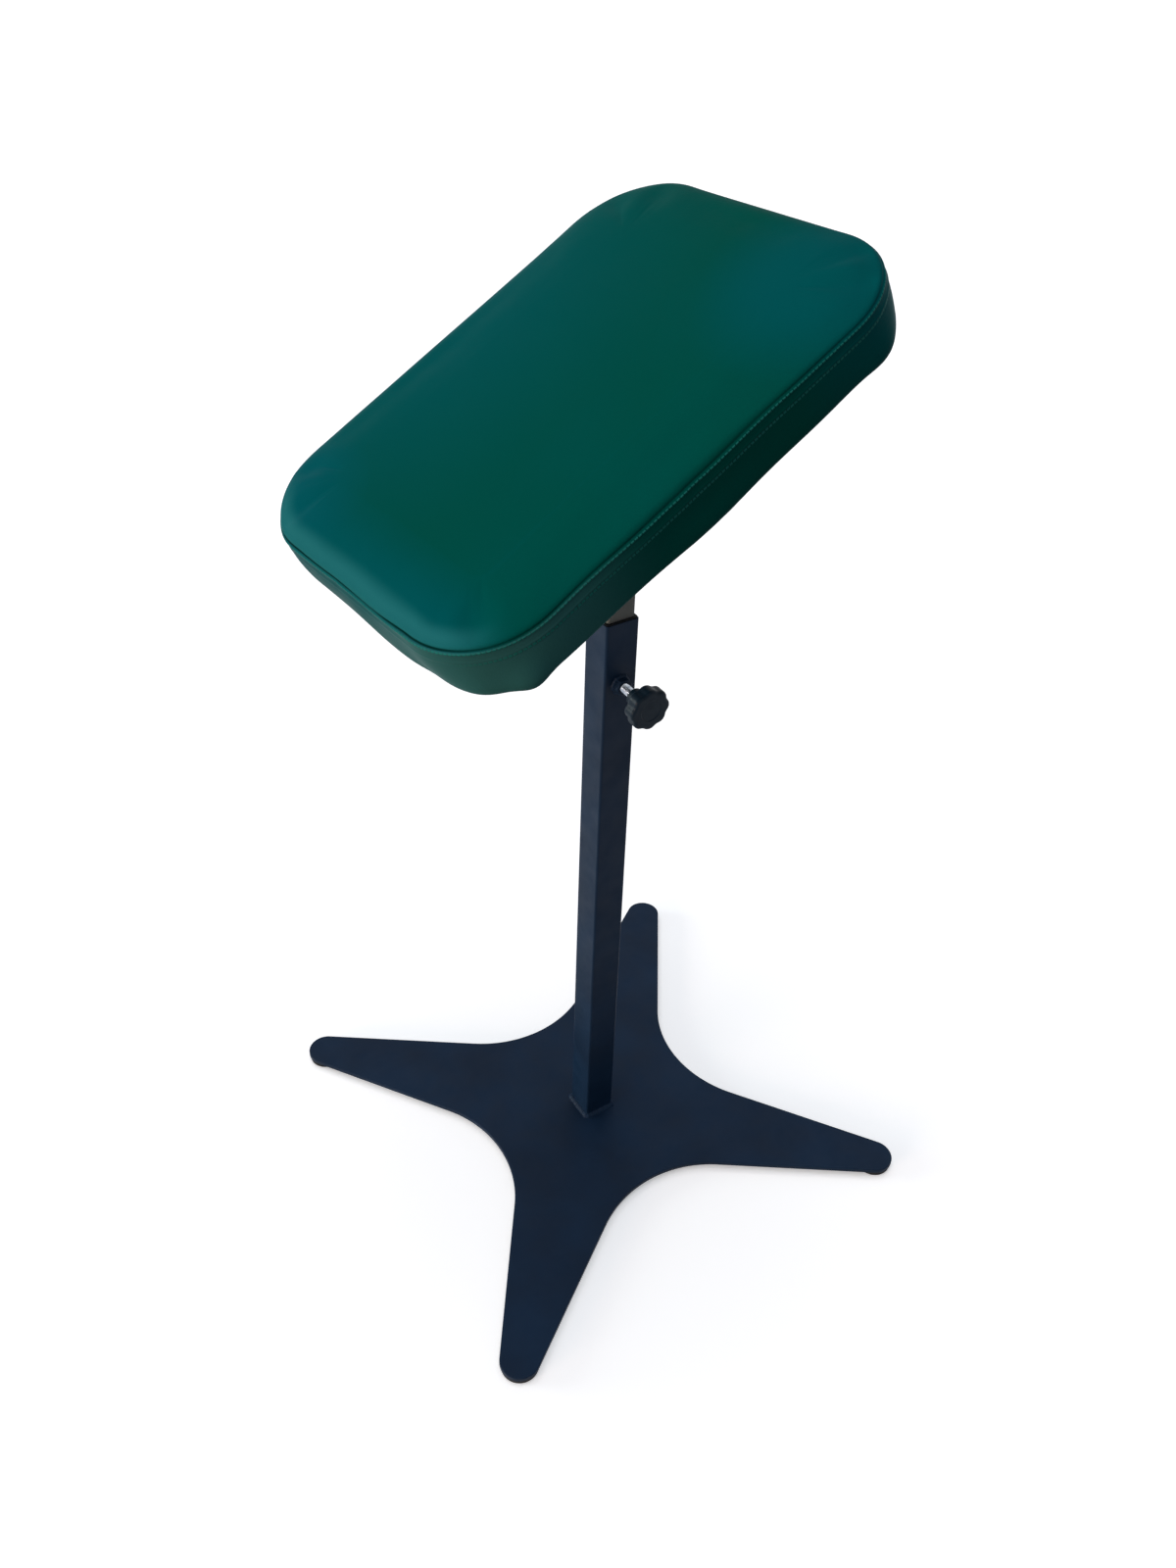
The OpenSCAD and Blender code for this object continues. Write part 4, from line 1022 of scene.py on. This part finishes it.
def dust_cloth():
    """Rings in from the cloth's cut edge, then the field: heights as in cloth_height()."""
    line, out, _ = pad_loop()
    inset = [CLOTH_EDGE, 11, 13, 15, 17, 19, 21, 23, 24.2, 24.8, 25.4, 26, 26.8, 29, 34, 44]
    inset = np.array(inset + [FIELD_INSET])[:, None]
    flat = line - inset[..., None] * out
    z = cloth_height(inset, flat)
    rings = np.concatenate([flat, z[..., None]], -1)
    points, quads = with_field(rings, lambda p: cloth_height(FIELD_INSET, p))
    return on_pad(points), quads[:, ::-1]


points, quads = dust_cloth()
underside = new_object("underside_cloth", points, quads.tolist())
underside.data.materials.append(CLOTH)
thick = underside.modifiers.new("thickness", "SOLIDIFY")
thick.thickness, thick.offset = CLOTH_T * MM, -1
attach(underside, "pad")
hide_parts("dust_cloth")
cut = np.array([PAD_W, PAD_L]) - 2 * CLOTH_EDGE
cut_corners = (4 - np.pi) * (PAD_CORNER_R - CLOTH_EDGE) ** 2
float((cut.prod() - cut_corners) * MM**2)

# Floor and light

KEY, FILL, TOP, AROUND = 0.52, 0.78, 0.46, 0.17
# The floor's side, its grey in the light that it throws back, and its own glow
FLOOR_SIDE, FLOOR_GREY, FLOOR_GLOW = 60000, (0.24, 0.22, 0.19, 1), 0.42


def looked_at(tree):
    """1 for rays from the camera, and for those that a surface reflects or lets through."""
    seen = 0
    for kind in ("Camera", "Glossy", "Transmission"):
        ray = add(tree, "LightPath", f"Is {kind} Ray")
        seen = add(tree, "Math", 0, {0: seen, 1: ray}, operation="MAXIMUM")
    return seen


def floor_paper(tree, place):
    """Matt paper: white to look at, grey in the light that it throws back, so that the black
    parts stay black."""
    seen = looked_at(tree)
    tone = {0: seen, 6: FLOOR_GREY, 7: (0.9, 0.9, 0.9, 1)}
    tone = add(tree, "Mix", 2, tone, data_type="RGBA")
    glow = add(tree, "Math", 0, {0: seen, 1: FLOOR_GLOW}, operation="MULTIPLY")
    return {"Base_Color": tone, "Emission_Strength": glow}


def studio_floor():
    """A plain floor, which takes the object's shadow."""
    corners = np.array([[-1, -1, 0], [1, -1, 0], [1, 1, 0], [-1, 1, 0]]) * FLOOR_SIDE / 2
    floor = new_object("studio_floor", corners, [[0, 1, 2, 3]])
    even = {"Emission_Color": (1, 1, 1, 1), "Roughness": 1, "Specular_IOR_Level": 0}
    floor.data.materials.append(finish("studio_floor_paper", floor_paper, **even))
    floor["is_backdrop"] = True


def soft_sun(name, toward, width, share, colour=(1, 1, 1), shine=1.0):
    """A wide, even light from a direction, a share of a white surface's full brightness."""
    data = bpy.data.lights.new(name, "SUN")
    data.energy, data.angle = share * np.pi, np.radians(width)
    data.color, data.specular_factor = colour, shine
    light = bpy.data.objects.new(name, data)
    light.rotation_euler = Vector(toward).to_track_quat("Z", "Y").to_euler()
    bpy.context.scene.collection.objects.link(light)


def studio_world():
    """Even, slightly blue light from all round, white where it is looked at."""
    world = bpy.data.worlds.new("studio_light")
    world.use_nodes = True
    tree = world.node_tree
    tree.nodes.clear()
    even = (AROUND * 0.85, AROUND * 0.98, AROUND * 1.25, 1)
    tone = {0: looked_at(tree), 6: even, 7: (1, 1, 1, 1)}
    tone = add(tree, "Mix", 2, tone, data_type="RGBA")
    light = add(tree, "Background", 0, {"Color": tone, "Strength": 1.0})
    end = tree.nodes.new("ShaderNodeOutputWorld")
    tree.links.new(light, end.inputs["Surface"])
    bpy.context.scene.world = world


studio_floor()
# The key is slightly green. The fill is warm and without shine, for the faces to the left.
soft_sun("key", (-0.78, 0.6, 0.15), 22, KEY, (0.95, 1.03, 0.98))
soft_sun("fill", (-1, -0.12, 0.05), 30, FILL, (1.3, 0.95, 0.75), 0.0)
soft_sun("overhead", (-0.05, 0.1, 1), 50, TOP)
studio_world()

# Sizes, and the end

sizes = {"cad": cad_box, "visual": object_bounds()}
sizes = {key: [list(map(float, corner)) for corner in box] for key, box in sizes.items()}
